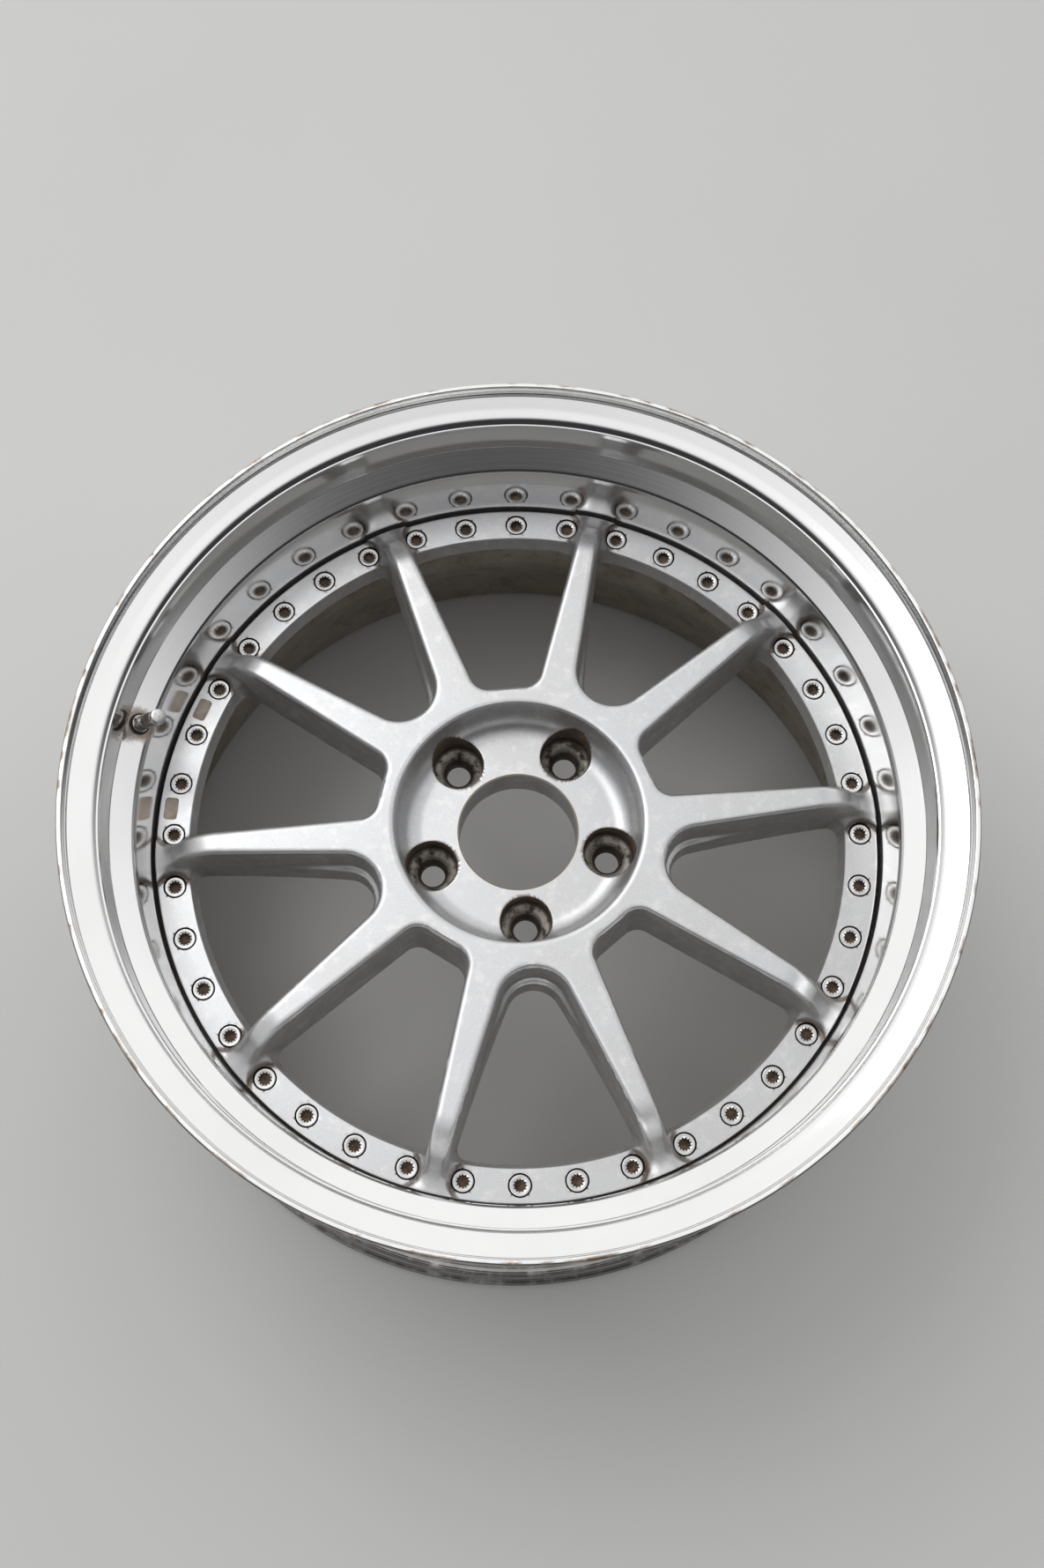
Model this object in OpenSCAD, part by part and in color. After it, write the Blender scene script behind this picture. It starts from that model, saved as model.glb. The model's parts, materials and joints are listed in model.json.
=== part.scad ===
// Three-piece forged wheel: bolted ten-spoke centre, stepped polished outer half,
// drop-centre inner half, clamp-in tyre valve.
// Millimetres. +Z is the outboard side. The origin is the centre of the hub mounting face.

/* [Rim] */
// Width between the two tyre flange faces (9.5 inch)
rim_width = 241.3; // [228.6:6.35:254]
// Radius of the bead seats at the flange (19 inch rim)
bead_r = 243.7; // [243.5:0.1:243.9]
// Height of the outboard flange face above the hub mounting face
flange_face_z = 99; // [95:1:103]
// Outer radius of the rim flanges
rim_outer_r = 261.3; // [260.5:0.1:262]
// Overhang of the rolled outboard edge past its flange face
outboard_curl = 17.2; // [16:0.2:18]
// Overhang of the inboard edge past its flange face
inboard_curl = 13; // [12:0.5:14]
// Angle of the valve band of the lip above the wheel plane
band_angle = 36; // [34:1:38]

/* [Centre disc] */
// Radius of the bore that sits on the car's hub
hub_bore_r = 36.55; // [30:0.05:37]
// Height of the hub pocket floor above the mounting face
pad_z = 28; // [26:1:30]
// Radius of the pocket's rim
pocket_r = 75; // [73:0.5:76]
// Height of the spoke faces at the hub
face_z = 53; // [50:1:55]
// Radius of the disc's bolted flange
disc_r = 222.5; // [221:0.5:223]
// Inner radius of the bolted flange
flange_inner_r = 202.2; // [201:0.1:202.4]
// Height of the flange's top face, level with the bolt heads
flange_top_z = 22; // [21:0.5:23]
// Thickness of the flange
flange_t = 10; // [9:0.5:11]

/* [Wheel nuts] */
// Pitch circle diameter of the wheel studs
lug_pcd = 114.3; // [100:0.1:120]
// Number of wheel studs
lug_count = 5; // [5]
// Radius of the stud holes
lug_hole_r = 7.5; // [7:0.1:8]
// Radius of the socket counterbores
lug_counterbore_r = 15.75; // [15:0.25:16]

/* [Assembly bolts] */
// Pitch circle diameter of the assembly bolts
bolt_pcd = 424; // [422:0.5:426]
// Number of assembly bolts
bolt_count = 40; // [40]
// Radius of the bolt shanks
bolt_r = 3.45; // [3:0.05:3.5]
// Radius of the bolt heads
bolt_head_r = 6.1; // [5.8:0.1:6.3]
// Radius of the counterbores around the heads
bolt_counterbore_r = 6.95; // [6.8:0.05:7.1]

/* [Valve] */
// Direction of the valve around the wheel
valve_az = 162; // [162]
// Radius at which the valve passes through the lip
valve_r = 233.5; // [233:0.25:234]
// Height of the stem's tip above the lip
stem_tip = 24; // [22:0.5:25]

/* [Hidden] */
eps = 0.01;
big_fn = 240;
small_fn = 48;

// Rim shells
shell_flange_t = 4;                              // each rim half's inward flange
joint_z = flange_top_z - flange_t - shell_flange_t; // face where the two halves meet
shell_bore_r = 202.8;                            // inner radius of both inward flanges
well_r = 228.6;                                  // tyre side of the drop centre
bead_round_r = 5;                                // sealant laid over the joint
inboard_face_z = flange_face_z - rim_width;
flange_arc_r = 9.5;                              // tyre-side curl of both flanges
arc_c_r = rim_outer_r - flange_arc_r;
edge_outer_round = 1.5;                          // outboard edge of the lip
edge_inner_round = 0.7;
edge_inner_r = 258.1;
band_in = [228.5, 67.2];                         // lower end of the valve band
band_len = 14;
band_out = band_in + band_len * [cos(band_angle), sin(band_angle)];
band_t = 4;
band_normal = [-sin(band_angle), cos(band_angle)];

// Spoke windows: half angles between the side walls, and the rounded inner ends
u_half_angle = 22;
u_end_r = 90.8;
u_round_r = 22.2;
ledge_z = 30;                                    // step inside the rounded windows
ledge_half_angle = 26.9;
ledge_end_r = 96;
ledge_round_r = 17.2;
flat_half_angle = 19.4;
flat_end_r = 87;
flat_half_width = 19.2;
flat_corner_r = 7;
window_step = 36;
spoke_back_z = flange_top_z - flange_t;          // flat back of the spokes, level with the flange's
hub_boss_r = 76;                                 // boss that stands on the car's hub
spoke_tip_r = 200;                               // where the spoke faces end, above the flange
spoke_tip_round_r = 13;
edge_chamfer = 0.8;
foot_w = 16;                                     // pad under each spoke's end
foot_h = 1.6;
mark_angles = [153, 171];                        // shallow recesses beside the valve
mark_depth = 0.6;

// Stud holes: a conical nut seat at the bottom of a socket counterbore
lug_seat_z = 6.8;
lug_seat_top_z = 12;
lug_seat_top_r = 10.5;
lug_floor_z = 14.5;
lug_floor_r = 15;

// Fasteners
bolt_start = 180 / bolt_count;                   // direction of the first bolt
bolt_head_h = 5.8;
bolt_head_chamfer = 0.6;
bolt_seat_z = flange_top_z - 6;
bolt_hole_r = 3.75;
bolt_socket_r = [3.3, 2.7];                      // outer and inner radius of the splines
bolt_socket_points = 12;
bolt_socket_depth = 4.2;
washer_t = 1.2;
washer_r = 6.5;
nut_af = 11;
nut_h = 6;
nut_fit = 0.05;
nut_top_z = joint_z - shell_flange_t - washer_t;
bolt_end_z = nut_top_z - nut_h - 2;

// Valve, in its own frame: z = 0 is the lip's surface, +z points out along the stem
valve_z = band_in[1] + (valve_r - band_in[0]) * tan(band_angle);
valve_hole_r = 5.65;
valve_fit = 0.05;                                // gap around the stem and in the hole
seat_front = -0.2;
seat_front_r = 7;
seat_back = -3.8;
stem_r = 3.87;
stem_tip_chamfer = 0.5;
stem_head_r = 7.3;
seal_t = 2.2;
seal_r = 7;
head_t = 2.5;
grommet_r = 6.4;
grommet_top_r = 5.7;
grommet_lip_z = 0.9;
washer_z = 1.6;
valve_washer_r = 5.2;
valve_nut_z = 2.4;
valve_nut_h = 4.2;
valve_nut_r = 5.15;
stem_bottom = seat_back - seal_t - head_t;
core_bore_r = 2.6;
lower_bore_r = 1.95;
core_top = stem_tip - 0.6;
gasket_seat = stem_tip - 7;
core_bottom = gasket_seat - 9;
core_gasket_t = 2.4;
core_plug_z = gasket_seat + core_gasket_t + 0.2;
core_barrel_r = 1.85;
spring_room_r = 1.45;
core_slot_depth = 1.8;
pin_r = 0.55;
pin_gap = 0.25;
pin_collar_z = gasket_seat - 0.8;
pin_foot_z = core_bottom - 2.6;
spring_shelf_z = core_bottom + 1.6;
cap_bottom = stem_tip - 12;
cap_top = stem_tip + 4.6;
cap_r = 4.65;
cap_chamfer = 0.5;
cap_fit = 0.15;
cap_flutes = 18;
cap_flute_r = 0.5;
cap_gasket_z = stem_tip + 0.15;
cap_gasket_t = 1.1;

// Valve core spring
spring_turns = 6;
spring_steps = 14;
spring_wire_r = 0.14;
spring_coil_r = 1.0;
spring_gap = 0.02;
spring_rise = pin_collar_z - spring_shelf_z - 2 * (spring_wire_r + spring_gap);
spring_sides = 6;

// Points of an arc in the order of its angles
function arc(c, r, a0, a1, n = 10) =
    [for (i = [0:n]) let (a = a0 + (a1 - a0) * i / n) c + r * [cos(a), sin(a)]];

function polar(r, a) = [r * cos(a), r * sin(a)];

module turned(points) {
    rotate_extrude($fn = big_fn) polygon(points);
}

module around(count, r, start = 0) {
    for (i = [0:count - 1]) rotate([0, 0, start + 360 * i / count]) translate([r, 0, 0]) children();
}

module tube(r_out, r_in, z0, z1) {
    difference() {
        translate([0, 0, z0]) cylinder(h = z1 - z0, r = r_out, $fn = small_fn);
        translate([0, 0, z0 - 1]) cylinder(h = z1 - z0 + 2, r = r_in, $fn = small_fn);
    }
}

module at_valve() {
    rotate([0, 0, valve_az]) translate([valve_r, 0, valve_z]) rotate([0, -band_angle, 0]) children();
}

// ---- centre disc -------------------------------------------------------------

// Rounded window: an arc at the hub end, straight sides opening outwards
module round_window(end_r, round_r, half_angle, reach) {
    c = end_r + round_r;
    tip = polar(1, half_angle);
    start = [c, 0] + round_r * [-sin(half_angle), cos(half_angle)];
    far = start + tip * (reach - start[0]) / tip[0];
    polygon(concat(
        [far],
        arc([c, 0], round_r, 90 + half_angle, 270 - half_angle, 16),
        [[far[0], -far[1]]]
    ));
}

// Flat-ended window: a straight hub end with rounded corners
module flat_window(reach) {
    // the corner circle touches both the flat end and the side wall
    cx = flat_end_r + flat_corner_r;
    cy = flat_half_width - flat_corner_r * tan((90 - flat_half_angle) / 2);
    side = [cx, cy] + flat_corner_r * [-sin(flat_half_angle), cos(flat_half_angle)];
    far_y = side[1] + (reach - side[0]) * tan(flat_half_angle);
    polygon(concat(
        [[reach, far_y]],
        arc([cx, cy], flat_corner_r, 90 + flat_half_angle, 180, 6),
        arc([cx, -cy], flat_corner_r, 180, 270 - flat_half_angle, 6),
        [[reach, -far_y]]
    ));
}

// Outline of hub and spokes; the rounded windows are smaller below their ledge
module star(below_ledge = false) {
    reach = disc_r + 40;
    difference() {
        circle(r = disc_r, $fn = big_fn);
        for (k = [0:4]) rotate(-90 + 2 * window_step * k) {
            intersection() {
                round_window(u_end_r, u_round_r, u_half_angle, reach);
                if (below_ledge) round_window(ledge_end_r, ledge_round_r, ledge_half_angle, reach);
            }
            rotate(window_step) flat_window(reach);
        }
    }
}

// Hub and spokes before the windows are cut
spoke_profile = concat(
    [[hub_bore_r, 0], [hub_boss_r, 0], [hub_boss_r + 3, spoke_back_z - 3],
     [hub_boss_r + 6, spoke_back_z], [flange_inner_r + 2, spoke_back_z],
     [flange_inner_r + 2, flange_top_z + 2]],
    arc([spoke_tip_r - spoke_tip_round_r, flange_top_z + 20], spoke_tip_round_r, 0, 80, 8),
    [[pocket_r + 2.5, face_z]],
    arc([pocket_r + 2.5, face_z - 2.5], 2.5, 90, 180, 4),
    arc([pocket_r - 14, pad_z + 11], 11, 0, -90, 8),
    [[hub_bore_r + edge_chamfer, pad_z], [hub_bore_r, pad_z - edge_chamfer]]
);

// Bolted flange ring
flange_profile = [
    [flange_inner_r, spoke_back_z], [disc_r, spoke_back_z],
    [disc_r, flange_top_z - edge_chamfer], [disc_r - edge_chamfer, flange_top_z],
    [flange_inner_r + 1.5, flange_top_z], [flange_inner_r, flange_top_z - 1.5]
];

module spoke_foot() {
    // low pad that carries the spoke across the flange, between two bolts
    translate([flange_inner_r - 3, -foot_w / 2, flange_top_z - 4])
        cube([disc_r - flange_inner_r + 2, foot_w, foot_h + 4]);
}

module mark_recess() {
    translate([0, 0, flange_top_z - mark_depth]) linear_extrude(2)
        polygon(concat(
            arc([2, 4.5], 1.7, 0, 90, 4), arc([-2, 4.5], 1.7, 90, 180, 4),
            arc([-2, -4.5], 1.7, 180, 270, 4), arc([2, -4.5], 1.7, 270, 360, 4)
        ));
}

module lug_cut() {
    translate([0, 0, -1]) cylinder(h = 20, r = lug_hole_r, $fn = small_fn);
    translate([0, 0, lug_seat_z])
        cylinder(h = lug_seat_top_z - lug_seat_z, r1 = lug_hole_r, r2 = lug_seat_top_r, $fn = small_fn);
    translate([0, 0, lug_seat_top_z - eps])
        cylinder(h = lug_floor_z - lug_seat_top_z, r1 = lug_seat_top_r, r2 = lug_floor_r, $fn = small_fn);
    translate([0, 0, lug_floor_z - 2 * eps]) cylinder(h = 40, r = lug_counterbore_r, $fn = small_fn);
}

module centre_disc() {
    color([0.74, 0.74, 0.73])
    difference() {
        union() {
            intersection() {
                turned(spoke_profile);
                union() {
                    translate([0, 0, ledge_z]) linear_extrude(face_z) star();
                    translate([0, 0, -5]) linear_extrude(ledge_z + 5) star(below_ledge = true);
                }
            }
            turned(flange_profile);
            for (k = [0:9]) rotate([0, 0, window_step * k]) intersection() {
                spoke_foot();
                cylinder(h = 60, r = disc_r, $fn = big_fn);
            }
        }
        around(lug_count, lug_pcd / 2, -90) lug_cut();
        around(bolt_count, bolt_pcd / 2, bolt_start) {
            cylinder(h = 60, r = bolt_hole_r, $fn = small_fn);
            translate([0, 0, bolt_seat_z]) cylinder(h = 16, r = bolt_counterbore_r, $fn = small_fn);
        }
        for (a = mark_angles) rotate([0, 0, a]) translate([bolt_pcd / 2, 0, 0]) mark_recess();
    }
}

// ---- rim halves ----------------------------------------------------------------

edge_z = flange_face_z + outboard_curl;

outer_half_profile = concat(
    // joint face and drop centre
    [[shell_bore_r, joint_z], [well_r, joint_z], [well_r, joint_z + 8], [230.6, 57.5]],
    [band_in - band_t * band_normal + [0.6, 0.3], band_out - band_t * band_normal],
    // safety hump, bead seat, flange face
    [[243.1, 75.2], [243.2, 77.2], [242.5, 80.5], [bead_r - 0.25, flange_face_z - 6]],
    arc([bead_r + 5, flange_face_z - 5], 5, 180, 90, 5),
    arc([arc_c_r, flange_face_z + flange_arc_r], flange_arc_r, -90, 0, 10),
    // flat top edge, and the step below it
    arc([rim_outer_r - edge_outer_round, edge_z - edge_outer_round], edge_outer_round, 0, 90, 6),
    arc([edge_inner_r + edge_inner_round, edge_z - edge_inner_round], edge_inner_round, 90, 180, 4),
    [[257.7, flange_face_z + 10.6], [257.2, flange_face_z + 10.2]],
    // dish side: lip face, its foot and ledge, steep wall, valve band, cylinder, flange
    [[256.9, flange_face_z + 8.3], [250, flange_face_z + 4.6], [244.6, flange_face_z + 2.2],
     [242.3, flange_face_z - 0.3], [241.3, flange_face_z - 0.8], [240.9, flange_face_z - 4]],
    [[240, 79], band_out, band_in, [227.2, 65.8], [226.5, 62.5], [224.2, 30],
     [224, joint_z + shell_flange_t + 1.5], [222.5, joint_z + shell_flange_t],
     [shell_bore_r, joint_z + shell_flange_t]]
);

module outer_rim_half() {
    color([0.86, 0.86, 0.87])
    difference() {
        turned(outer_half_profile);
        around(bolt_count, bolt_pcd / 2, bolt_start) cylinder(h = 60, r = bolt_hole_r, $fn = small_fn);
        at_valve() {
            translate([0, 0, -20]) cylinder(h = 40, r = valve_hole_r, $fn = small_fn);
            // flat seats for the rubber on both sides of the wall
            translate([0, 0, seat_front]) cylinder(h = 6, r = seat_front_r, $fn = small_fn);
            translate([0, 0, seat_back - 8]) cylinder(h = 8, r = stem_head_r + 0.5, $fn = small_fn);
        }
    }
}

bottom_z = inboard_face_z - inboard_curl;

inner_half_profile = concat(
    [[shell_bore_r, joint_z], [shell_bore_r, joint_z - shell_flange_t],
     [221.5, joint_z - shell_flange_t], [224.4, joint_z - shell_flange_t - 3]],
    // inside of the barrel
    [[224.6, -60], [226, -68], [236.6, -106], [238.6, -116], [239.4, inboard_face_z + 2],
     [240.4, inboard_face_z - 2.6], [243, inboard_face_z - 4.6], [250, inboard_face_z - 5.4],
     [256, inboard_face_z - 7.4]],
    arc([rim_outer_r - 1.4, bottom_z + 1.4], 1.4, 210, 360, 6),
    arc([arc_c_r, inboard_face_z - flange_arc_r], flange_arc_r, 0, 90, 10),
    arc([bead_r + 5, inboard_face_z + 5], 5, 270, 180, 5),
    // bead seat, hump, drop centre
    [[bead_r - 0.25, inboard_face_z + 6], [242.0, -121.5], [242.7, -119.1], [242.9, -117.1],
     [242.2, -115.1], [240.6, -106], [230.2, -67.5], [well_r, -60], [well_r, joint_z]]
);

module inner_rim_half() {
    color([0.60, 0.59, 0.57])
    difference() {
        turned(inner_half_profile);
        translate([0, 0, -20])
            around(bolt_count, bolt_pcd / 2, bolt_start) cylinder(h = 60, r = bolt_hole_r, $fn = small_fn);
    }
}

// Sealant laid in the drop centre over the joint between the halves
module rim_seal_bead() {
    color([0.75, 0.75, 0.72])
    turned(concat(
        [[well_r, joint_z - bead_round_r]],
        arc([well_r, joint_z], bead_round_r, -70, 70, 10),
        [[well_r, joint_z + bead_round_r]]
    ));
}

// ---- assembly fasteners --------------------------------------------------------

module spline_socket() {
    count = 2 * bolt_socket_points;
    translate([0, 0, -bolt_socket_depth]) linear_extrude(bolt_socket_depth + 1)
        polygon([for (i = [0:count - 1]) polar(bolt_socket_r[i % 2], 360 * i / count)]);
}

module assembly_bolts() {
    color([0.66, 0.65, 0.62])
    around(bolt_count, bolt_pcd / 2, bolt_start) {
        difference() {
            union() {
                translate([0, 0, bolt_end_z])
                    cylinder(h = bolt_seat_z - bolt_end_z + 1, r = bolt_r, $fn = small_fn);
                translate([0, 0, bolt_seat_z])
                    cylinder(h = bolt_head_h - bolt_head_chamfer, r = bolt_head_r, $fn = small_fn);
                translate([0, 0, bolt_seat_z + bolt_head_h - bolt_head_chamfer]) cylinder(
                    h = bolt_head_chamfer, r1 = bolt_head_r, r2 = bolt_head_r - bolt_head_chamfer,
                    $fn = small_fn
                );
            }
            translate([0, 0, bolt_seat_z + bolt_head_h]) spline_socket();
        }
    }
}

module assembly_washers() {
    color([0.62, 0.61, 0.58])
    around(bolt_count, bolt_pcd / 2, bolt_start)
        tube(washer_r, bolt_hole_r, nut_top_z, nut_top_z + washer_t);
}

module assembly_nuts() {
    color([0.55, 0.54, 0.52])
    around(bolt_count, bolt_pcd / 2, bolt_start) difference() {
        translate([0, 0, nut_top_z - nut_h]) cylinder(h = nut_h, r = nut_af / 2 / cos(30), $fn = 6);
        translate([0, 0, nut_top_z - nut_h - 1])
            cylinder(h = nut_h + 2, r = bolt_r + nut_fit, $fn = small_fn);
    }
}

// ---- valve ---------------------------------------------------------------------

module valve_stem() {
    color([0.45, 0.44, 0.42])
    at_valve() difference() {
        union() {
            translate([0, 0, stem_bottom]) cylinder(h = head_t, r = stem_head_r, $fn = small_fn);
            translate([0, 0, stem_bottom])
                cylinder(h = stem_tip - stem_tip_chamfer - stem_bottom, r = stem_r, $fn = small_fn);
            translate([0, 0, stem_tip - stem_tip_chamfer]) cylinder(
                h = stem_tip_chamfer, r1 = stem_r, r2 = stem_r - stem_tip_chamfer, $fn = small_fn
            );
        }
        translate([0, 0, stem_bottom - 1]) cylinder(h = 60, r = lower_bore_r, $fn = small_fn);
        translate([0, 0, gasket_seat]) cylinder(h = 20, r = core_bore_r, $fn = small_fn);
    }
}

// Rubber ring on the dish side, with a neck that fills the hole
module valve_grommet() {
    color([0.07, 0.07, 0.07])
    at_valve() difference() {
        union() {
            translate([0, 0, seat_back])
                cylinder(h = washer_z - seat_back - 0.4, r = valve_hole_r - valve_fit, $fn = small_fn);
            translate([0, 0, seat_front])
                cylinder(h = grommet_lip_z - seat_front, r = grommet_r, $fn = small_fn);
            translate([0, 0, grommet_lip_z])
                cylinder(h = washer_z - grommet_lip_z, r1 = grommet_r, r2 = grommet_top_r, $fn = small_fn);
        }
        translate([0, 0, -10]) cylinder(h = 30, r = stem_r + valve_fit, $fn = small_fn);
    }
}

module valve_inner_seal() {
    color([0.08, 0.08, 0.08])
    at_valve() tube(seal_r, stem_r + valve_fit, seat_back - seal_t, seat_back);
}

module valve_washer() {
    color([0.7, 0.7, 0.7])
    at_valve() tube(valve_washer_r, stem_r + 2 * valve_fit, washer_z, valve_nut_z);
}

module valve_nut() {
    color([0.5, 0.5, 0.49])
    at_valve() difference() {
        translate([0, 0, valve_nut_z]) cylinder(h = valve_nut_h, r = valve_nut_r, $fn = 6);
        translate([0, 0, 1]) cylinder(h = 8, r = stem_r + valve_fit, $fn = small_fn);
    }
}

// Threaded plug that screws the core down on its gasket
module valve_core_plug() {
    color([0.72, 0.58, 0.3])
    at_valve() difference() {
        translate([0, 0, core_plug_z])
            cylinder(h = core_top - core_plug_z, r = core_bore_r - valve_fit, $fn = small_fn);
        translate([0, 0, gasket_seat]) cylinder(h = 20, r = pin_r + pin_gap, $fn = small_fn);
        // slot for the core key, across the top
        for (side = [-1, 1]) translate([2.8 * side, 0, core_top - core_slot_depth + 1.5])
            cube([2.4, 1.8, 3], center = true);
    }
}

module valve_core_barrel() {
    color([0.74, 0.6, 0.32])
    at_valve() difference() {
        translate([0, 0, core_bottom])
            cylinder(h = core_plug_z - 0.1 - core_bottom, r = core_barrel_r, $fn = small_fn);
        translate([0, 0, core_bottom - 1]) cylinder(h = 20, r = pin_r + pin_gap, $fn = small_fn);
        translate([0, 0, spring_shelf_z])
            cylinder(h = gasket_seat + 1 - spring_shelf_z, r = spring_room_r, $fn = small_fn);
    }
}

module valve_core_gasket() {
    color([0.9, 0.35, 0.25])
    at_valve() tube(
        core_bore_r - valve_fit, core_barrel_r + 0.02, gasket_seat, gasket_seat + core_gasket_t
    );
}

module valve_core_pin() {
    color([0.76, 0.62, 0.34])
    at_valve() {
        translate([0, 0, pin_foot_z])
            cylinder(h = core_top + 0.3 - pin_foot_z, r = pin_r, $fn = small_fn);
        translate([0, 0, pin_collar_z]) cylinder(h = 0.6, r = 1.2, $fn = small_fn);
        translate([0, 0, pin_foot_z]) cylinder(h = 0.8, r = 1.3, $fn = small_fn);
    }
}

// Rubber cup that the pin pulls up against the barrel
module valve_core_seal() {
    color([0.06, 0.06, 0.06])
    at_valve() tube(1.7, pin_r, pin_foot_z + 0.8, core_bottom - 0.02);
}

// Helical wire: a ring of points for every step of every turn
module valve_core_spring() {
    rings = spring_turns * spring_steps;
    points = [for (i = [0:rings], j = [0:spring_sides - 1]) let (
            a = 360 * i / spring_steps,
            b = 360 * j / spring_sides,
            r = spring_coil_r + spring_wire_r * cos(b)
        ) [r * cos(a), r * sin(a), spring_rise * i / rings + spring_wire_r * sin(b)]];
    sides = [for (i = [0:rings - 1], j = [0:spring_sides - 1]) let (
            k = (j + 1) % spring_sides,
            p = i * spring_sides,
            q = p + spring_sides
        ) [p + j, p + k, q + k, q + j]];
    caps = [
        [for (j = [spring_sides - 1:-1:0]) j],
        [for (j = [0:spring_sides - 1]) rings * spring_sides + j]
    ];
    color([0.6, 0.6, 0.6])
    at_valve() translate([0, 0, spring_shelf_z + spring_wire_r + spring_gap])
        polyhedron(points, concat(sides, caps), convexity = 10);
}

// Knurled metal cap; its gasket sits over the stem's tip
module valve_cap() {
    color([0.8, 0.8, 0.8])
    at_valve() difference() {
        union() {
            translate([0, 0, cap_bottom])
                cylinder(h = cap_top - cap_chamfer - cap_bottom, r = cap_r, $fn = small_fn);
            translate([0, 0, cap_top - cap_chamfer])
                cylinder(h = cap_chamfer, r1 = cap_r, r2 = cap_r - cap_chamfer, $fn = small_fn);
        }
        translate([0, 0, cap_bottom - 1])
            cylinder(h = stem_tip + 2.4 - cap_bottom, r = stem_r + cap_fit, $fn = small_fn);
        // room for the gasket
        translate([0, 0, stem_tip + 0.1]) cylinder(h = 1.3, r = stem_r + cap_fit + 0.1, $fn = small_fn);
        // room for the pin
        translate([0, 0, stem_tip]) cylinder(h = 2.2, r = 1.6, $fn = small_fn);
        around(cap_flutes, cap_r + 0.25)
            translate([0, 0, cap_bottom + 1.2]) cylinder(h = 10.5, r = cap_flute_r, $fn = 16);
    }
}

module cap_gasket() {
    color([0.1, 0.1, 0.1])
    at_valve() tube(stem_r + 0.1, 2.0, cap_gasket_z, cap_gasket_z + cap_gasket_t);
}

centre_disc();
outer_rim_half();
inner_rim_half();
rim_seal_bead();
assembly_bolts();
assembly_washers();
assembly_nuts();
valve_stem();
valve_grommet();
valve_inner_seal();
valve_washer();
valve_nut();
valve_core_plug();
valve_core_barrel();
valve_core_gasket();
valve_core_pin();
valve_core_spring();
valve_core_seal();
valve_cap();
cap_gasket();
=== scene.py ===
"""Looks of a three-piece forged wheel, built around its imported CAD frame.

Builders work in millimetres in the wheel's own frame, where z = 0 is the hub mounting face and
+z points outboard; new_mesh() turns their points into metres.
"""
import json
import math

import bmesh
import bpy
import numpy as np
from mathutils import Matrix, Vector


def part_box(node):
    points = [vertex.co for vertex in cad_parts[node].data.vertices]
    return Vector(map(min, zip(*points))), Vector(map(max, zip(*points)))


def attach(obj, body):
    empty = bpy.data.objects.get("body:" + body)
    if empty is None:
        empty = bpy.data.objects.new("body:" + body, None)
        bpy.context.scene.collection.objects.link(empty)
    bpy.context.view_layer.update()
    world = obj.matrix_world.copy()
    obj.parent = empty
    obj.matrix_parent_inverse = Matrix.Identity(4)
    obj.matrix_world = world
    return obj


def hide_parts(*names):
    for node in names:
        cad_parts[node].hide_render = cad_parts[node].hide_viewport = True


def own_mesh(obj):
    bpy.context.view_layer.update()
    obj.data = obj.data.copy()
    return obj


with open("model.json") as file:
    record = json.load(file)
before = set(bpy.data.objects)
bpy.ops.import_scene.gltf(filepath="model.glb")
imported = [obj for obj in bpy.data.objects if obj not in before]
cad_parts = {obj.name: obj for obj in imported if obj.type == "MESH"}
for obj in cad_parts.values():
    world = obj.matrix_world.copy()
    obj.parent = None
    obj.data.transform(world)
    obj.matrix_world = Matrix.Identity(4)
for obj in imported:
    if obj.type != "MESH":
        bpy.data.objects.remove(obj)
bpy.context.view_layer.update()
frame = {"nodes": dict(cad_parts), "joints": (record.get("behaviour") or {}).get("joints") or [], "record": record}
MM = 0.001
BODY = "wheel"
SHARP_ANGLE = math.radians(32)  # edges sharper than this are shaded as edges


def node_box_mm(node):
    """Lowest and highest corner of a CAD node, in millimetres."""
    low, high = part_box(node)
    return np.array(low) / MM, np.array(high) / MM


def mount(name):
    return next(m for m in frame["record"]["mounts"] if m["name"] == name)


def joint(name):
    return next(j for j in frame["joints"] if j["name"] == name)


# ---- sizes ----

RIM_HIGH = node_box_mm("outer_rim_half")[1]
BARREL_LOW, BARREL_HIGH = node_box_mm("inner_rim_half")
DISC_HIGH = node_box_mm("centre_disc")[1]
BOLT_LOW, BOLT_HIGH = node_box_mm("assembly_bolts")
NUT_LOW, NUT_HIGH = node_box_mm("assembly_nuts")

# Centre disc
HUB_BORE_R = mount("hub_bore")["dims"]["r_mm"]
LUG_PCR = mount("lug_holes")["dims"]["pcd_mm"] / 2
LUG_HOLE_R = mount("lug_holes")["dims"]["hole_r_mm"]
LUG_COUNTERBORE_R = 15.75
LUG_FLOOR_Z = 14.5  # floor of the counterbore
LUG_CONE_R, LUG_CONE_Z = 10.5, 12  # where the nut seat's cone changes its slope
PAD_Z = 28
POCKET_R = 75
FACE_Z = 53
FACE_SLOPE = 0.02
SPOKE_TIP_R = 200  # where a spoke's face turns down to the flange
SPOKE_TIP_SLOPE = math.radians(58)
SPOKE_TIP_ROUND = 14
SPOKE_TIP_DROP = 2.5  # how far below the face's height its slope starts
MARK_R = 215.3
MARK_HALF_SIZE = (4.1, 7)  # radial and tangential
MARK_DEPTH = 0.6
LEDGE_Z = 30
BACK_Z = 12
BOSS_R = 76
BOSS_TOP_Z = 20  # inside the hub, so that no two faces coincide
FLANGE_IN_R = 202.2
FLANGE_DRAFT = 0.29  # how far its inner wall runs in for each mm of depth
PAD_H = 2.6  # pad where a spoke crosses the flange
PAD_HALF_WIDTH = 8.2  # at its waist, on the bolt circle
PAD_FLARE = 0.055
FLANGE_TOP_Z = 22
DISC_R = 222.5
WINDOW_STEP = math.radians(36)
FIRST_WINDOW = math.radians(-90)  # direction of one rounded window's centre line

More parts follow.
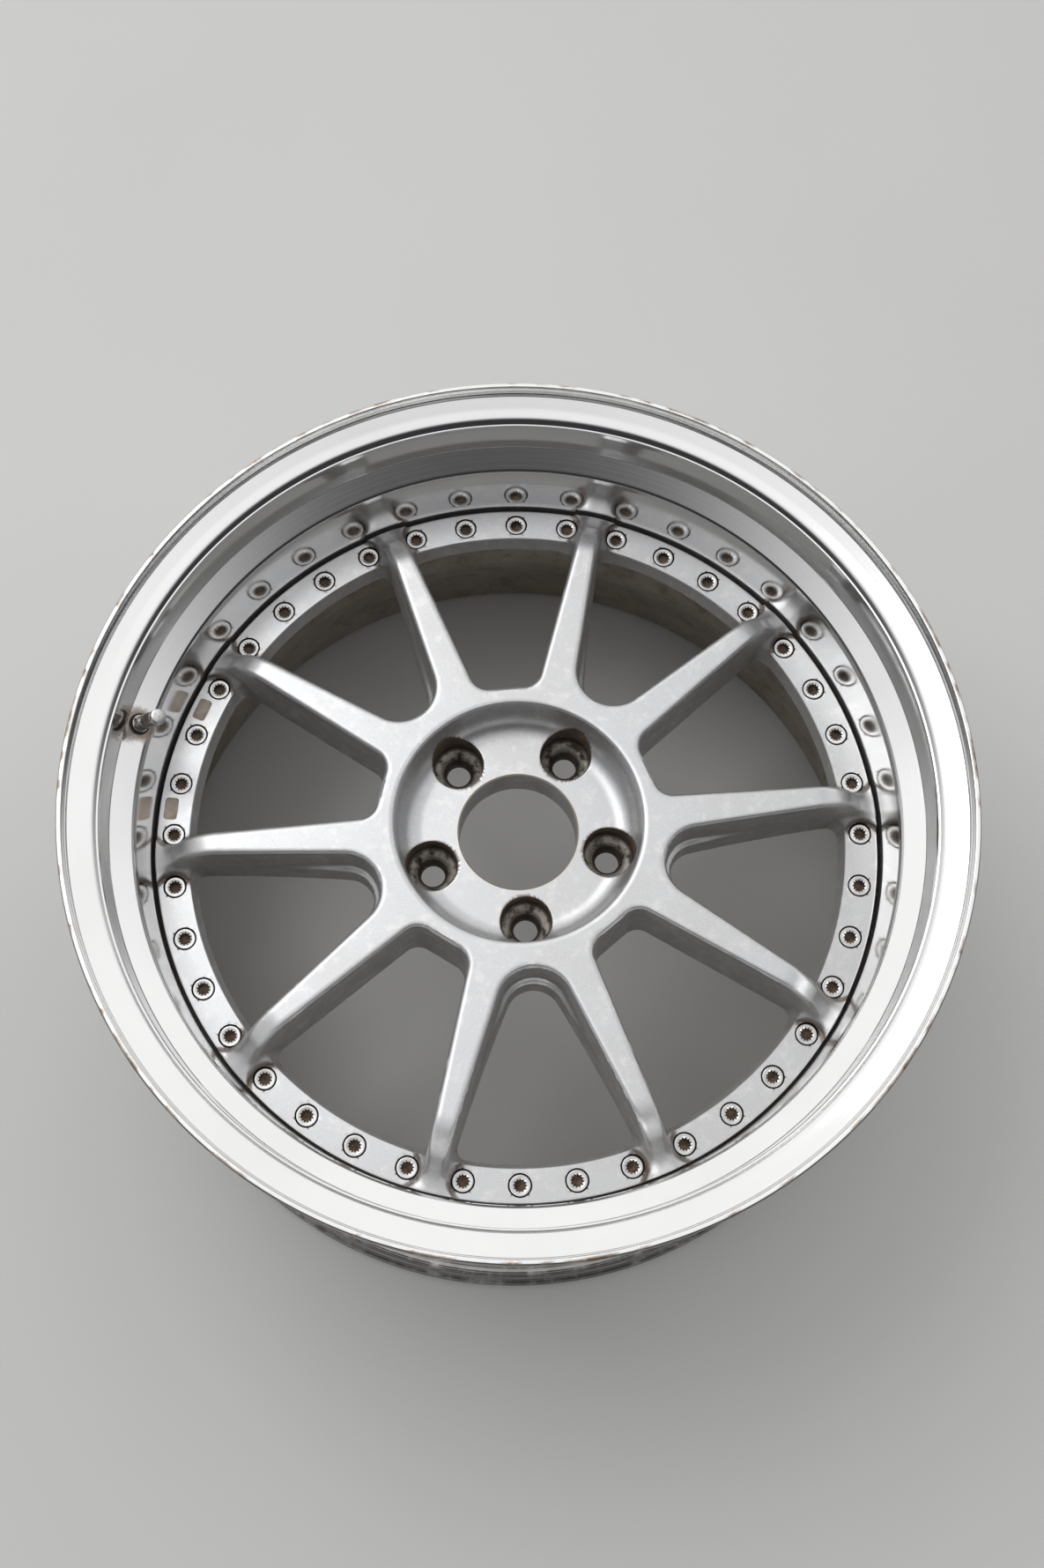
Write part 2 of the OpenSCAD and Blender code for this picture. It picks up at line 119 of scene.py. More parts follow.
# Assembly bolts
BOLT_PCR = 212
BOLT_COUNT = 40
BOLT_STEP = math.tau / BOLT_COUNT
BOLT_HOLE_R = 3.75
BOLT_COUNTERBORE_R = 6.95
BOLT_SEAT_Z = 16
BOLT_HEAD_R = 6.3
BOLT_TOP_Z = BOLT_HIGH[2]
BOLT_END_Z = BOLT_LOW[2]
BOLT_R = 3.45

# Rim halves
RIM_R = BARREL_HIGH[0]
EDGE_Z = RIM_HIGH[2]
BOTTOM_Z = BARREL_LOW[2]
FLANGE_FACE_Z = 99
INBOARD_FACE_Z = -142.3
ARC_R = 9.5
ARC_C = RIM_R - ARC_R
BEAD_R = 243.7
WELL_R = 228.6
SHELL_BORE_R = 202.8
JOINT_Z = 8
SHELL_T = 4
BARREL_FLANGE_R = 221.5  # outer radius of the barrel's bolted flange

# Valve
STEM_TIP = 24
STEM_R = 3.87
STEM_PITCH = 0.794
CAP_TOP = 28.6

# Studio
FLOOR_HALF = 6000


# ---- meshes ----

def new_mesh(name, verts, faces):
    mesh = bpy.data.meshes.new(name)
    mesh.from_pydata((np.asarray(verts, float) * MM).tolist(), [], faces)
    return mesh


def new_object(name, data):
    made = bpy.data.objects.new(name, data)
    bpy.context.scene.collection.objects.link(made)
    return made


def shade(mesh):
    mesh.shade_smooth()
    mesh.set_sharp_from_angle(angle=SHARP_ANGLE)


def make_piece(name, verts, faces, node, material, slot=None, body=BODY, attributes=None):
    """A piece from millimetre vertices, riding on a body in place of a CAD node. Its slot is named after its
    material; the slot argument is not used."""
    mesh = new_mesh(name, verts, faces)
    for key, values in (attributes or {}).items():
        mesh.attributes.new(key, "FLOAT", "POINT").data.foreach_set("value", values)
    shade(mesh)
    mesh.materials.append(material)
    piece = new_object(name, mesh)
    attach(piece, body)
    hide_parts(node)
    # Blender adds a number to a material's name when the frame has the same name already
    return piece


def weld(verts, faces):
    """Joins vertices that lie on each other, and returns plain lists."""
    bm = bmesh.new()
    points = [bm.verts.new(v) for v in verts]
    for face in faces:
        bm.faces.new([points[i] for i in face])
    bmesh.ops.remove_doubles(bm, verts=bm.verts, dist=1e-4)
    bmesh.ops.recalc_face_normals(bm, faces=bm.faces)
    bm.verts.index_update()
    out = [tuple(v.co) for v in bm.verts], [[v.index for v in f.verts] for f in bm.faces]
    bm.free()
    return out


def arc(centre, radius, start, end, steps):
    """Profile points on an arc, in degrees."""
    angles = np.radians(np.linspace(start, end, steps + 1))
    return [(centre[0] + radius * math.cos(a), centre[1] + radius * math.sin(a)) for a in angles]


def filleted(corners, steps=5, guard=0.35):
    """Closed outline from (r, z, fillet) corners. Each fillet is an arc with a short straight on
    each side of it, which keeps the shading of the long straights flat."""
    out, count = [], len(corners)
    for i, (r, z, radius) in enumerate(corners):
        here = np.array((r, z), float)
        back = np.array(corners[i - 1][:2], float) - here
        ahead = np.array(corners[(i + 1) % count][:2], float) - here
        back_len, ahead_len = np.linalg.norm(back), np.linalg.norm(ahead)
        back, ahead = back / back_len, ahead / ahead_len
        half = math.acos(np.clip(back @ ahead, -1, 1)) / 2
        if radius <= 0 or half > math.radians(89.7):
            out.append(tuple(here))
            continue
        reach = min(radius / math.tan(half), 0.45 * back_len, 0.45 * ahead_len)
        radius = reach * math.tan(half)
        middle = here + (back + ahead) / np.linalg.norm(back + ahead) * radius / math.sin(half)
        first, last = here + back * reach - middle, here + ahead * reach - middle
        a0 = math.atan2(first[1], first[0])
        sweep = (math.atan2(last[1], last[0]) - a0 + math.pi) % math.tau - math.pi
        out.append(tuple(here + back * min(reach + guard, 0.49 * back_len)))
        for k in range(steps + 1):
            a = a0 + sweep * k / steps
            out.append((middle[0] + radius * math.cos(a), middle[1] + radius * math.sin(a)))
        out.append(tuple(here + ahead * min(reach + guard, 0.49 * ahead_len)))
    return out


def plain(points, fillet=0):
    return [(r, z, fillet) for r, z in points]


def around(segments):
    """Directions of a turned part's segments."""
    return np.linspace(0, math.tau, segments, endpoint=False)


def turned(rows, segments, closed=True, skip=()):
    """A turned part from rows of (radius, z); either may vary around the axis. A closed part joins
    its last row to its first, except over the strips in skip; the ends of an open one are capped."""
    verts, faces, turns = [], [], around(segments)
    for radius, z in rows:
        r, height = np.broadcast_to(radius, segments), np.broadcast_to(z, segments)
        verts += np.stack([r * np.cos(turns), r * np.sin(turns), height], axis=-1).tolist()
    count = len(rows)
    for i in range(count if closed else count - 1):
        a, b = i * segments, (i + 1) % count * segments
        if i not in skip:
            faces += [(a + k, a + (k + 1) % segments, b + (k + 1) % segments, b + k)
                      for k in range(segments)]
    if not closed:
        faces.append(tuple(range(segments - 1, -1, -1)))
        faces.append(tuple((count - 1) * segments + k for k in range(segments)))
    return verts, faces


def radius_of(verts):
    return np.hypot(verts[:, 0], verts[:, 1])


def joined(*parts):
    """One vertex list and one face list from several."""
    verts, faces = [], []
    for more_verts, more_faces in parts:
        start = len(verts)
        verts += [tuple(v) for v in more_verts]
        faces += [tuple(start + i for i in face) for face in more_faces]
    return verts, faces


def around_rim(verts, faces, radius, count, start, turn=None):
    """Copies of one small part on a circle; turn gives each its own rotation."""
    verts, parts = np.array(verts, float), []
    for k in range(count):
        spin = 0 if turn is None else turn(k)
        a = start + k * math.tau / count
        x = verts[:, 0] * math.cos(spin) - verts[:, 1] * math.sin(spin) + radius
        y = verts[:, 0] * math.sin(spin) + verts[:, 1] * math.cos(spin)
        parts.append((np.stack([
            x * math.cos(a) - y * math.sin(a), x * math.sin(a) + y * math.cos(a), verts[:, 2]
        ], axis=-1), faces))
    return joined(*parts)


# ---- centre disc: a signed distance field, meshed by dual contouring ----

def rmax(a, b, k):
    """Intersection of two distances with an edge rounded to radius k."""
    return np.minimum(-k, np.maximum(a, b)) + np.hypot(np.maximum(a + k, 0), np.maximum(b + k, 0))


def rmin(a, b, k):
    """Union of two distances with a fillet of radius k."""
    return -rmax(-a, -b, k)


def round_window(u, v, end, radius, half_angle):
    """Window that opens outwards from a round hub end; u runs along its centre line."""
    u = u - end - radius
    along = u * math.cos(half_angle) + v * math.sin(half_angle)
    across = v * math.cos(half_angle) - u * math.sin(half_angle)
    return np.where(along > 0, across, np.hypot(u, v)) - radius


def flat_window(u, v, depth):
    """Window with a flat hub end, round corners and drafted walls."""
    end, half_width, half_angle = 85.6, 18.75, math.radians(19.4)
    hub_side = end - u + 0.087 * depth
    side = (v - half_width) * math.cos(half_angle) - (u - end) * math.sin(half_angle) + 0.05 * depth
    return rmax(hub_side, side, 7)


def spoke_arms(r, u, v, z):
    """Hub and spokes: their faces, tips, windows and the ledge in the rounded windows."""
    depth = FACE_Z - z
    opening = round_window(u, v, 90.8, 22.2, math.radians(22)) + 0.05 * depth
    ledge = round_window(u, v, 96, 17.2, math.radians(26.9)) + 0.03 * (LEDGE_Z - z)
    angle = np.arctan2(v, u)
    flat_u, flat_v = r * np.cos(WINDOW_STEP - angle), r * np.sin(WINDOW_STEP - angle)
    face = z - FACE_Z - FACE_SLOPE * (r - POCKET_R)
    tip = ((r - SPOKE_TIP_R) * math.sin(SPOKE_TIP_SLOPE)
           + (z - FACE_Z + SPOKE_TIP_DROP) * math.cos(SPOKE_TIP_SLOPE))
    arms = rmax(face, tip, SPOKE_TIP_ROUND)
    wall = rmin(-opening, rmax(z - LEDGE_Z, -ledge, 2.5), 3.5)
    arms = rmax(arms, wall, 3)
    arms = rmax(arms, -flat_window(flat_u, flat_v, depth), 3)
    pocket = rmax(r - POCKET_R + 0.12 * depth, PAD_Z - z, 13)
    return rmax(arms, -pocket, 2)


def pad_side(r, u, v):
    """Distance to the waisted sides of the pad under a spoke's end."""
    across = np.abs(v * math.cos(WINDOW_STEP / 2) - u * math.sin(WINDOW_STEP / 2))
    return across - PAD_HALF_WIDTH - PAD_FLARE * (r - BOLT_PCR) ** 2


def bolted_flange(r, u, v, z):
    """Ring under the bolt heads, with a low pad where each spoke crosses it."""
    inner = (FLANGE_IN_R - FLANGE_DRAFT * (FLANGE_TOP_Z - z) - r) * 0.96
    walls = np.maximum(inner, r - DISC_R)
    pad = rmax(pad_side(r, u, v), z - FLANGE_TOP_Z - PAD_H, 1.2)
    return rmin(rmax(walls, z - FLANGE_TOP_Z, 0.9), rmax(pad, walls, 0.9), 0.9)


def lug_cut(u, v, z):
    """Stud hole, its conical nut seat and the socket counterbore."""
    rho = np.hypot(u - LUG_PCR, v)
    out, up = rho - LUG_CONE_R, z - LUG_CONE_Z
    seat = np.maximum((out - 0.577 * up) * 0.866, z - LUG_FLOOR_Z + 0.5)
    flare = np.maximum((out - 1.8 * up) * 0.486, np.maximum(-up, z - LUG_FLOOR_Z))
    counterbore = np.maximum(rho - LUG_COUNTERBORE_R, LUG_FLOOR_Z - z)
    return np.minimum(np.minimum(rho - LUG_HOLE_R, seat), np.minimum(flare, counterbore))


def bolt_cuts(x, y, z):
    """Counterbored holes of the four bolts in half a sector."""
    nearest = np.full(np.shape(x), 1e3)
    for k in range(4):
        a = (k + 0.5) * BOLT_STEP
        rho = np.hypot(x - BOLT_PCR * math.cos(a), y - BOLT_PCR * math.sin(a))
        hole = np.minimum(rho - BOLT_HOLE_R,
                          np.maximum(rho - BOLT_COUNTERBORE_R, BOLT_SEAT_Z - z))
        nearest = np.minimum(nearest, hole)
    return nearest


def mark_recess(u, v, z):
    """Shallow blank recess between two bolts."""
    a = 3 * BOLT_STEP
    radial = np.abs(u * math.cos(a) + v * math.sin(a) - MARK_R) - MARK_HALF_SIZE[0]
    tangential = np.abs(v * math.cos(a) - u * math.sin(a)) - MARK_HALF_SIZE[1]
    return np.maximum(rmax(radial, tangential, 2.2), FLANGE_TOP_Z - MARK_DEPTH - z)


def disc_field(x, y, z, marked):
    """Signed distance to the disc in a frame whose x axis is a rounded window's centre line."""
    r = np.hypot(x, y)
    angle = np.abs(np.arctan2(y, x))
    angle = WINDOW_STEP - np.abs(WINDOW_STEP - angle)
    u, v = r * np.cos(angle), r * np.sin(angle)
    solid = rmin(spoke_arms(r, u, v, z), bolted_flange(r, u, v, z), 8)
    solid = rmax(solid, BACK_Z - z, 1.5)
    boss = np.maximum(rmax(r - BOSS_R - z / 3, -z, 1), z - BOSS_TOP_Z)
    solid = rmin(solid, boss, 3)
    solid = np.maximum(solid, r - DISC_R)
    chamfer = HUB_BORE_R + 0.8 - r
    bore = np.maximum(HUB_BORE_R - r, np.maximum(chamfer + z - PAD_Z, chamfer - z) * 0.707)
    solid = np.maximum(solid, bore)
    solid = rmax(solid, -lug_cut(u, v, z), 0.7)
    solid = rmax(solid, -bolt_cuts(u, v, z), 0.45)
    if marked:
        solid = np.maximum(solid, -mark_recess(u, v, z))
    return solid


def grid_lines(low, high, step, fine=()):
    """Grid lines a step apart, closer inside the fine (from, to, step) stretches."""
    lines = [low]
    while lines[-1] < high:
        here = lines[-1]
        steps = [s for a, b, s in fine if a <= here < b]
        ahead = [a for a, b, s in fine if a > here]
        move = min(steps, default=step)
        lines.append(min([here + move] + [a for a in ahead if a > here + 1e-6]))
    return np.array(lines)


def field_normals(points, marked, gap=0.02):
    grads = [disc_field(*(points + gap * e).T, marked) - disc_field(*(points - gap * e).T, marked)
             for e in np.eye(3)]
    normals = np.stack(grads, axis=-1)
    return normals / np.maximum(np.linalg.norm(normals, axis=-1, keepdims=True), 1e-9)


def edge_crossings(values, nodes, axis, marked):
    """Points and normals where the field changes sign along one grid axis, and their edges."""
    start = tuple(slice(None, -1) if i == axis else slice(None) for i in range(3))
    end = tuple(slice(1, None) if i == axis else slice(None) for i in range(3))
    where = np.argwhere((values[start] < 0) != (values[end] < 0))
    index = tuple(where.T)
    p, q = nodes[start][index], nodes[end][index]
    low, high = values[start][index], values[end][index]
    t0, t1, f0, f1 = np.zeros(len(p)), np.ones(len(p)), low, high
    t = f0 / (f0 - f1)
    for _ in range(3):
        f = disc_field(*(p + (q - p) * t[:, None]).T, marked)
        left = (f < 0) == (f0 < 0)
        t0, f0 = np.where(left, t, t0), np.where(left, f, f0)
        t1, f1 = np.where(left, t1, t), np.where(left, f1, f)
        t = t0 + (t1 - t0) * np.clip(f0 / np.where(f0 == f1, 1, f0 - f1), 0.02, 0.98)
    points = p + (q - p) * t[:, None]
    return where, points, field_normals(points, marked)


def contour_half_sector(r_lines, a_lines, z_lines, marked):
    """Dual contouring of half a sector. Returns the node values, each cell's vertex number
    (-1 for none) and the vertices as (r, angle, z)."""
    rr, aa, zz = np.meshgrid(r_lines, a_lines, z_lines, indexing="ij")
    nodes = np.stack([rr * np.cos(aa), rr * np.sin(aa), zz], axis=-1)
    values = disc_field(nodes[..., 0], nodes[..., 1], nodes[..., 2], marked)
    cells = np.array([len(r_lines), len(a_lines), len(z_lines)]) - 1
    total = int(np.prod(cells))
    ata, atb = np.zeros((total, 3, 3)), np.zeros((total, 3))
    mass, hits = np.zeros((total, 3)), np.zeros(total)
    found = []
    for axis in range(3):
        where, points, normals = edge_crossings(values, nodes, axis, marked)
        others = [i for i in range(3) if i != axis]
        for da in (0, 1):
            for db in (0, 1):
                cell = where.copy()
                cell[:, others[0]] -= da
                cell[:, others[1]] -= db
                inside = np.all((cell >= 0) & (cell < cells), axis=1)
                flat = np.ravel_multi_index(cell[inside].T, cells)
                found.append((flat, points[inside], normals[inside]))
    for flat, points, normals in found:
        np.add.at(mass, flat, points)
        np.add.at(hits, flat, 1)
    active = np.flatnonzero(hits)
    mass[active] /= hits[active, None]
    for flat, points, normals in found:
        offset = np.sum(normals * (points - mass[flat]), axis=1)
        np.add.at(ata, flat, normals[:, :, None] * normals[:, None, :])
        np.add.at(atb, flat, normals * offset[:, None])
    ridge = 0.02 * hits[active, None, None] * np.eye(3)
    moved = np.linalg.solve(ata[active] + ridge, atb[active][..., None])[..., 0]
    vertex = mass[active] + moved
    i, j, k = np.unravel_index(active, cells)
    polar = np.stack([
        np.clip(np.hypot(vertex[:, 0], vertex[:, 1]), r_lines[i], r_lines[i + 1]),
        np.clip(np.arctan2(vertex[:, 1], vertex[:, 0]), a_lines[j], a_lines[j + 1]),
        np.clip(vertex[:, 2], z_lines[k], z_lines[k + 1]),
    ], axis=-1)
    numbers = np.full(total, -1)
    numbers[active] = np.arange(len(active))
    return values, numbers.reshape(cells), polar


def surface_marks(polar, marked):
    """Crevices, hollows and outer edges of the surface, from 0 to 1, read off the field."""
    r, a, z = polar.T
    points = np.stack([r * np.cos(a), r * np.sin(a), z], axis=-1)
    normals = field_normals(points, marked)

    def reach(distance):
        return disc_field(*(points + normals * distance).T, marked) / distance

    return {
        "crevice": 1 - np.clip(reach(3), 0, 1),
        "hollow": 1 - np.clip(reach(14), 0, 1),
        "edge": np.clip(1 + reach(-2.5), 0, 1),
        "wall": np.clip(1 - 1.5 * np.abs(normals[:, 2]), 0, 1) * np.clip((FACE_Z - 2 - z) / 8, 0, 1),
    }


def disc_mesh(cells_per_half, step):
    """The whole disc: ten half sectors, every second one mirrored."""
    a_lines = np.linspace(0, WINDOW_STEP, cells_per_half + 1)
    r_lines = grid_lines(HUB_BORE_R - 1.3, DISC_R + 1.1, step, [(200, 204, 0.8), (220, 223.6, 0.6)])
    z_lines = grid_lines(-0.9, DISC_HIGH[2] + 2.1, step, [(-0.9, 1.5, 0.6), (20.8, 24.7, 0.47)])
    plain_half = contour_half_sector(r_lines, a_lines, z_lines, False)
    marked_half = contour_half_sector(r_lines, a_lines, z_lines, True)
    # the marks flank the valve, which sits on a flat window's centre line
    halves = [marked_half if g in (6, 7) else plain_half for g in range(10)]
    looks = {id(h): surface_marks(h[2], h is marked_half) for h in (plain_half, marked_half)}
    values, numbers, verts, start = [], [], [], 0
    for g, half in enumerate(halves):
        node_values, cell_numbers, polar = half
        r, a, z = polar.T
        angle = FIRST_WINDOW + g // 2 * 2 * WINDOW_STEP + (a if g % 2 == 0 else 2 * WINDOW_STEP - a)
        verts.append(np.stack([r * np.cos(angle), r * np.sin(angle), z], axis=-1))
        flip = slice(None) if g % 2 == 0 else slice(None, None, -1)
        values.append(node_values[:, flip][:, :-1])
        numbers.append(np.where(cell_numbers < 0, -1, cell_numbers + start)[:, flip])
        start += len(polar)
    values, numbers = np.concatenate(values, axis=1), np.concatenate(numbers, axis=1)
    quads = []

    def add(change, corners):
        """Faces around the edges whose ends differ in sign; change is +1 where the far end is out."""
        quad = np.stack([c[change != 0] for c in corners], axis=-1)
        out = change[change != 0] > 0
        quads.append(np.where(out[:, None], quad, quad[:, ::-1]))

    sign = (values >= 0).astype(int)
    before = np.roll(numbers, 1, axis=1)
    low, high = slice(None, -1), slice(1, None)
    add((sign[high] - sign[low])[:, :, 1:-1],
        [before[:, :, low], numbers[:, :, low], numbers[:, :, high], before[:, :, high]])
    add((sign[:, :, high] - sign[:, :, low])[1:-1],
        [before[low], before[high], numbers[high], numbers[low]])
    add((np.roll(sign, -1, axis=1) - sign)[1:-1, :, 1:-1],
        [numbers[low][:, :, low], numbers[low][:, :, high],
         numbers[high][:, :, high], numbers[high][:, :, low]])
    marks = {key: np.concatenate([looks[id(half)][key] for half in halves])
             for key in looks[id(plain_half)]}
    return np.concatenate(verts), np.concatenate(quads).tolist(), marks


# ---- rim halves ----

def outer_half_profile():
    """Polished half: tyre side first, then the dish side, ending on the bolted flange."""
    band = np.array([math.cos(math.radians(36)), math.sin(math.radians(36))])
    band_in = np.array([228.5, 67.2])
    band_out = band_in + 14 * band
    behind = 4 * np.array([band[1], -band[0]])
    back_in, back_out = band_in + behind + [0.6, 0.3], band_out + behind
    top = JOINT_Z + SHELL_T
    return filleted([
        (DISC_R, JOINT_Z, 0), (WELL_R, JOINT_Z, 0.6), (WELL_R, JOINT_Z + 8, 20), (230.6, 57.5, 12),
        (*back_in, 6), (*back_out, 5), (243.2, 76.6, 2.2), (242.5, 80.5, 4),
        (BEAD_R - 0.25, FLANGE_FACE_Z - 6, 0),
        *plain(arc((BEAD_R + 5, FLANGE_FACE_Z - 5), 5, 180, 90, 6)),
        *plain(arc((ARC_C, FLANGE_FACE_Z + ARC_R), ARC_R, -90, 0, 14)),
        *plain(arc((RIM_R - 1.5, EDGE_Z - 1.5), 1.5, 0, 90, 6)),
        *plain(arc((258.8, EDGE_Z - 0.7), 0.7, 90, 180, 5)),
        (257.7, 109.6, 0.3), (257.2, 109.2, 0.3), (256.9, 107.3, 0.5), (250, 103.6, 30),
        (244.6, 101.2, 9), (242.3, 98.7, 0.6), (241.3, 98.2, 0.5), (240.9, 95, 8), (240, 79, 8),
        (*band_out, 0.7), (*band_in, 0.6), (227.2, 65.8, 1.2),
        (226.5, 62.5, 4), (224.2, 30, 20), (224, top + 1.5, 0.8), (DISC_R, top, 0),
        (SHELL_BORE_R, top, 0), (SHELL_BORE_R, JOINT_Z, 0),
    ])


def inner_half_profile():
    """Barrel half: inside first, then the flange and tyre side, ending on the bolted flange."""
    bottom = JOINT_Z - SHELL_T
    face = INBOARD_FACE_Z
    return filleted([
        (221.5, bottom, 0), (224.4, bottom - 3, 1.5), (224.6, -60, 10), (226, -68, 15),
        (236.6, -106, 14), (238.6, -116, 12), (239.4, face + 2, 3), (240.4, face - 2.6, 2.5),
        (243, face - 4.6, 3), (250, face - 5.4, 6), (256, face - 7.4, 2.5),
        *plain(arc((RIM_R - 1.4, BOTTOM_Z + 1.4), 1.4, 210, 360, 8)),
        *plain(arc((ARC_C, face - ARC_R), ARC_R, 0, 90, 14)),
        *plain(arc((BEAD_R + 5, face + 5), 5, 270, 180, 6)),
        (BEAD_R - 0.25, face + 6, 0), (242, -121.5, 4), (242.9, -117.1, 2.2), (240.6, -106, 8),
        (230.2, -67.5, 14), (WELL_R, -60, 10), (WELL_R, JOINT_Z, 0.6), (221.5, JOINT_Z, 0),
        (SHELL_BORE_R, JOINT_Z, 0), (SHELL_BORE_R, bottom, 0),
    ])


def holed_flange(r_in, r_out, z_low, z_high, segments):
    """Both faces of a bolted flange and the walls of its holes, one patch for each bolt."""
    per = segments // BOLT_COUNT
    steps = np.arange(per) / per
    half = BOLT_STEP / 2
    outline = [(r_in, -half + BOLT_STEP * s) for s in steps]
    outline += [(r_in + (r_out - r_in) * s, half) for s in steps]
    outline += [(r_out, half - BOLT_STEP * s) for s in steps]
    outline += [(r_out - (r_out - r_in) * s, -half) for s in steps]
    verts, count = [], len(outline)
    for z in (z_low, z_high):
        for r, a in outline:
            x, y = r * math.cos(a) - BOLT_PCR, r * math.sin(a)
            verts += [(x, y, z), (*(np.array((x, y)) / math.hypot(x, y) * BOLT_HOLE_R), z)]
    faces = []
    for i in range(count):
        a, b = 2 * i, 2 * ((i + 1) % count)
        faces += [(a, b, b + 1, a + 1), (a + 1, b + 1, b + 1 + 2 * count, a + 1 + 2 * count),
                  (a + 2 * count, b + 2 * count, b + 1 + 2 * count, a + 1 + 2 * count)]
    return around_rim(verts, faces, BOLT_PCR, BOLT_COUNT, BOLT_STEP / 2)


def rim_mesh(profile, r_out, z_low, z_high, segments=480):
    """A rim half with its bolt holes. The profile's last three strips are its flange's upper face,
    bore and lower face; the two faces are left out for the ones with holes in them."""
    count = len(profile)
    shell = turned(profile, segments, skip=(count - 3, count - 1))
    return weld(*joined(shell, holed_flange(SHELL_BORE_R, r_out, z_low, z_high, segments)))


def cut(piece, verts, faces):
    """Takes a closed shape out of a piece."""
    mesh = new_mesh("cutter", verts, faces)
    tool = new_object("cutter", mesh)
    change = piece.modifiers.new("cut", "BOOLEAN")
    change.operation, change.solver, change.object = "DIFFERENCE", "EXACT", tool
    bpy.context.view_layer.update()
    evaluated = piece.evaluated_get(bpy.context.evaluated_depsgraph_get())
    made = bpy.data.meshes.new_from_object(evaluated)
    piece.modifiers.clear()
    piece.data = made
    made.name = piece.name
    bpy.data.objects.remove(tool)
    bpy.data.meshes.remove(mesh)
    shade(made)


# ---- fasteners ----

def thread_rows(radius, pitch, low, high, segments, depth, per_turn=8):
    """Rows of an outside screw thread, fading out at both ends."""
    turns = np.linspace(0, 1, segments, endpoint=False)
    rows = []
    for z in np.linspace(low, high, max(2, round((high - low) / pitch * per_turn))):
        phase = (z / pitch - turns) % 1
        groove = depth * np.clip(1.25 - 2.5 * np.abs(phase - 0.5) * 2, 0, 1)
        fade = min(1, (z - low) / pitch * 2, (high - z) / pitch * 2)
        rows.append((radius - groove * fade, z))
    return rows


def bolt_mesh():
    """Twelve-point socket head bolt with a threaded end."""
    segments = 48
    teeth = np.arange(segments) % 4 / 4
    socket = 4.1 - 0.95 * (1 - np.abs(teeth * 2 - 1)) ** 0.8
    top = BOLT_TOP_Z
    rows = [(BOLT_R - 0.75, BOLT_END_Z), (BOLT_R - 0.3, BOLT_END_Z + 0.4)]
    rows += thread_rows(BOLT_R - 0.03, 1, BOLT_END_Z + 0.5, NUT_LOW[2] + 0.8, segments, 0.5)
    rows += [(BOLT_R, NUT_LOW[2] + 1), (BOLT_R, BOLT_SEAT_Z), (BOLT_HEAD_R - 0.2, BOLT_SEAT_Z),
             (BOLT_HEAD_R, BOLT_SEAT_Z + 0.2), (BOLT_HEAD_R, top - 0.75)]
    rows += arc((BOLT_HEAD_R - 0.5, top - 0.5), 0.5, 0, 90, 4)
    rows += [(BOLT_HEAD_R - 0.7, top), (4.55, top), (4.4, top - 0.05), (socket + 0.08, top - 0.4),
             (socket, top - 0.55), (socket, top - 4.1), (socket - 0.15, top - 4.2), (0.4, top - 4.8)]
    return turned(rows, segments, closed=False)


def hexagon_of(inner_radius, segments):
    """Radius of a hexagon in each segment's direction."""
    return inner_radius / np.cos((around(segments) + math.pi / 6) % (math.pi / 3) - math.pi / 6)


def nut_mesh():
    """Chamfered hexagon nut."""
    segments = 60
    hexagon = hexagon_of(5.5, segments)
    low, high = NUT_LOW[2], NUT_HIGH[2]
    bevel = np.maximum(hexagon - 5.55, 0.05) * 0.577
    rows = [(5.5, low), (hexagon, low + bevel), (hexagon, high - bevel), (5.5, high),
            (4, high), (BOLT_R + 0.05, high - 0.5), (BOLT_R + 0.05, low + 0.5), (4, low)]
    return turned(rows, segments)


def ring_mesh(r_in, r_out, low, high, fillet, segments=48):
    """Flat ring with rounded edges."""
    corners = [(r_in, low), (r_out, low), (r_out, high), (r_in, high)]
    return turned(filleted(plain(corners, fillet), 3, 0.1), segments)


# ---- valve ----

AXIS = Vector(joint("cap_lift")["axis"]).normalized()
VALVE_BASE = Vector(mount("valve_thread")["pos_m"]) / MM - STEM_TIP * AXIS
VALVE_TURN = Vector((0, 0, 1)).rotation_difference(AXIS).to_matrix().to_4x4()
VALVE_FRAME = Matrix.Translation(VALVE_BASE) @ VALVE_TURN


def on_stem(height):
    """Point on the valve's axis, in metres."""
    return (VALVE_BASE + height * AXIS) * MM


def at_valve(verts, faces):
    return [tuple(VALVE_FRAME @ Vector(v)) for v in verts], faces


def stem_mesh():
    segments = 48
    rows = [(1.95, -8.5), (6.9, -8.5), (7.3, -8.1), (7.3, -6.3), (7, -6), (STEM_R, -6),
            (STEM_R, 1.5)]
    rows += thread_rows(STEM_R, STEM_PITCH, 1.7, 23.1, segments, 0.34)
    rows += [(3.55, 23.45), (3.3, 23.5), (2.75, 23.5), (2.6, 23.3), (2.6, 17), (1.95, 17)]
    return turned(rows, segments)


def grommet_mesh():
    """Rubber cup: a round lip around the washer and a neck in the hole."""
    corners = [(3.95, -3.7, 0.2), (5.6, -3.7, 0.2), (5.6, -0.2, 0.1), (6.4, -0.2, 0.3),
               (6.4, 1.3, 0.6), (5.7, 1.6, 0.3), (5.25, 1.2, 0.2), (3.95, 0.9, 0.2)]
    return turned(filleted(corners, 4, 0.06), 64)


def valve_nut_mesh():
    segments = 60
    hexagon = hexagon_of(4.46, segments)
    bevel = np.maximum(hexagon - 4.5, 0.04) * 0.5
    rows = [(4.45, 2.4), (hexagon, 2.4 + bevel), (hexagon, 6.6 - bevel), (4.45, 6.6),
            (4.1, 6.6), (3.92, 6.4), (3.92, 2.6), (4.1, 2.4)]
    return turned(rows, segments)


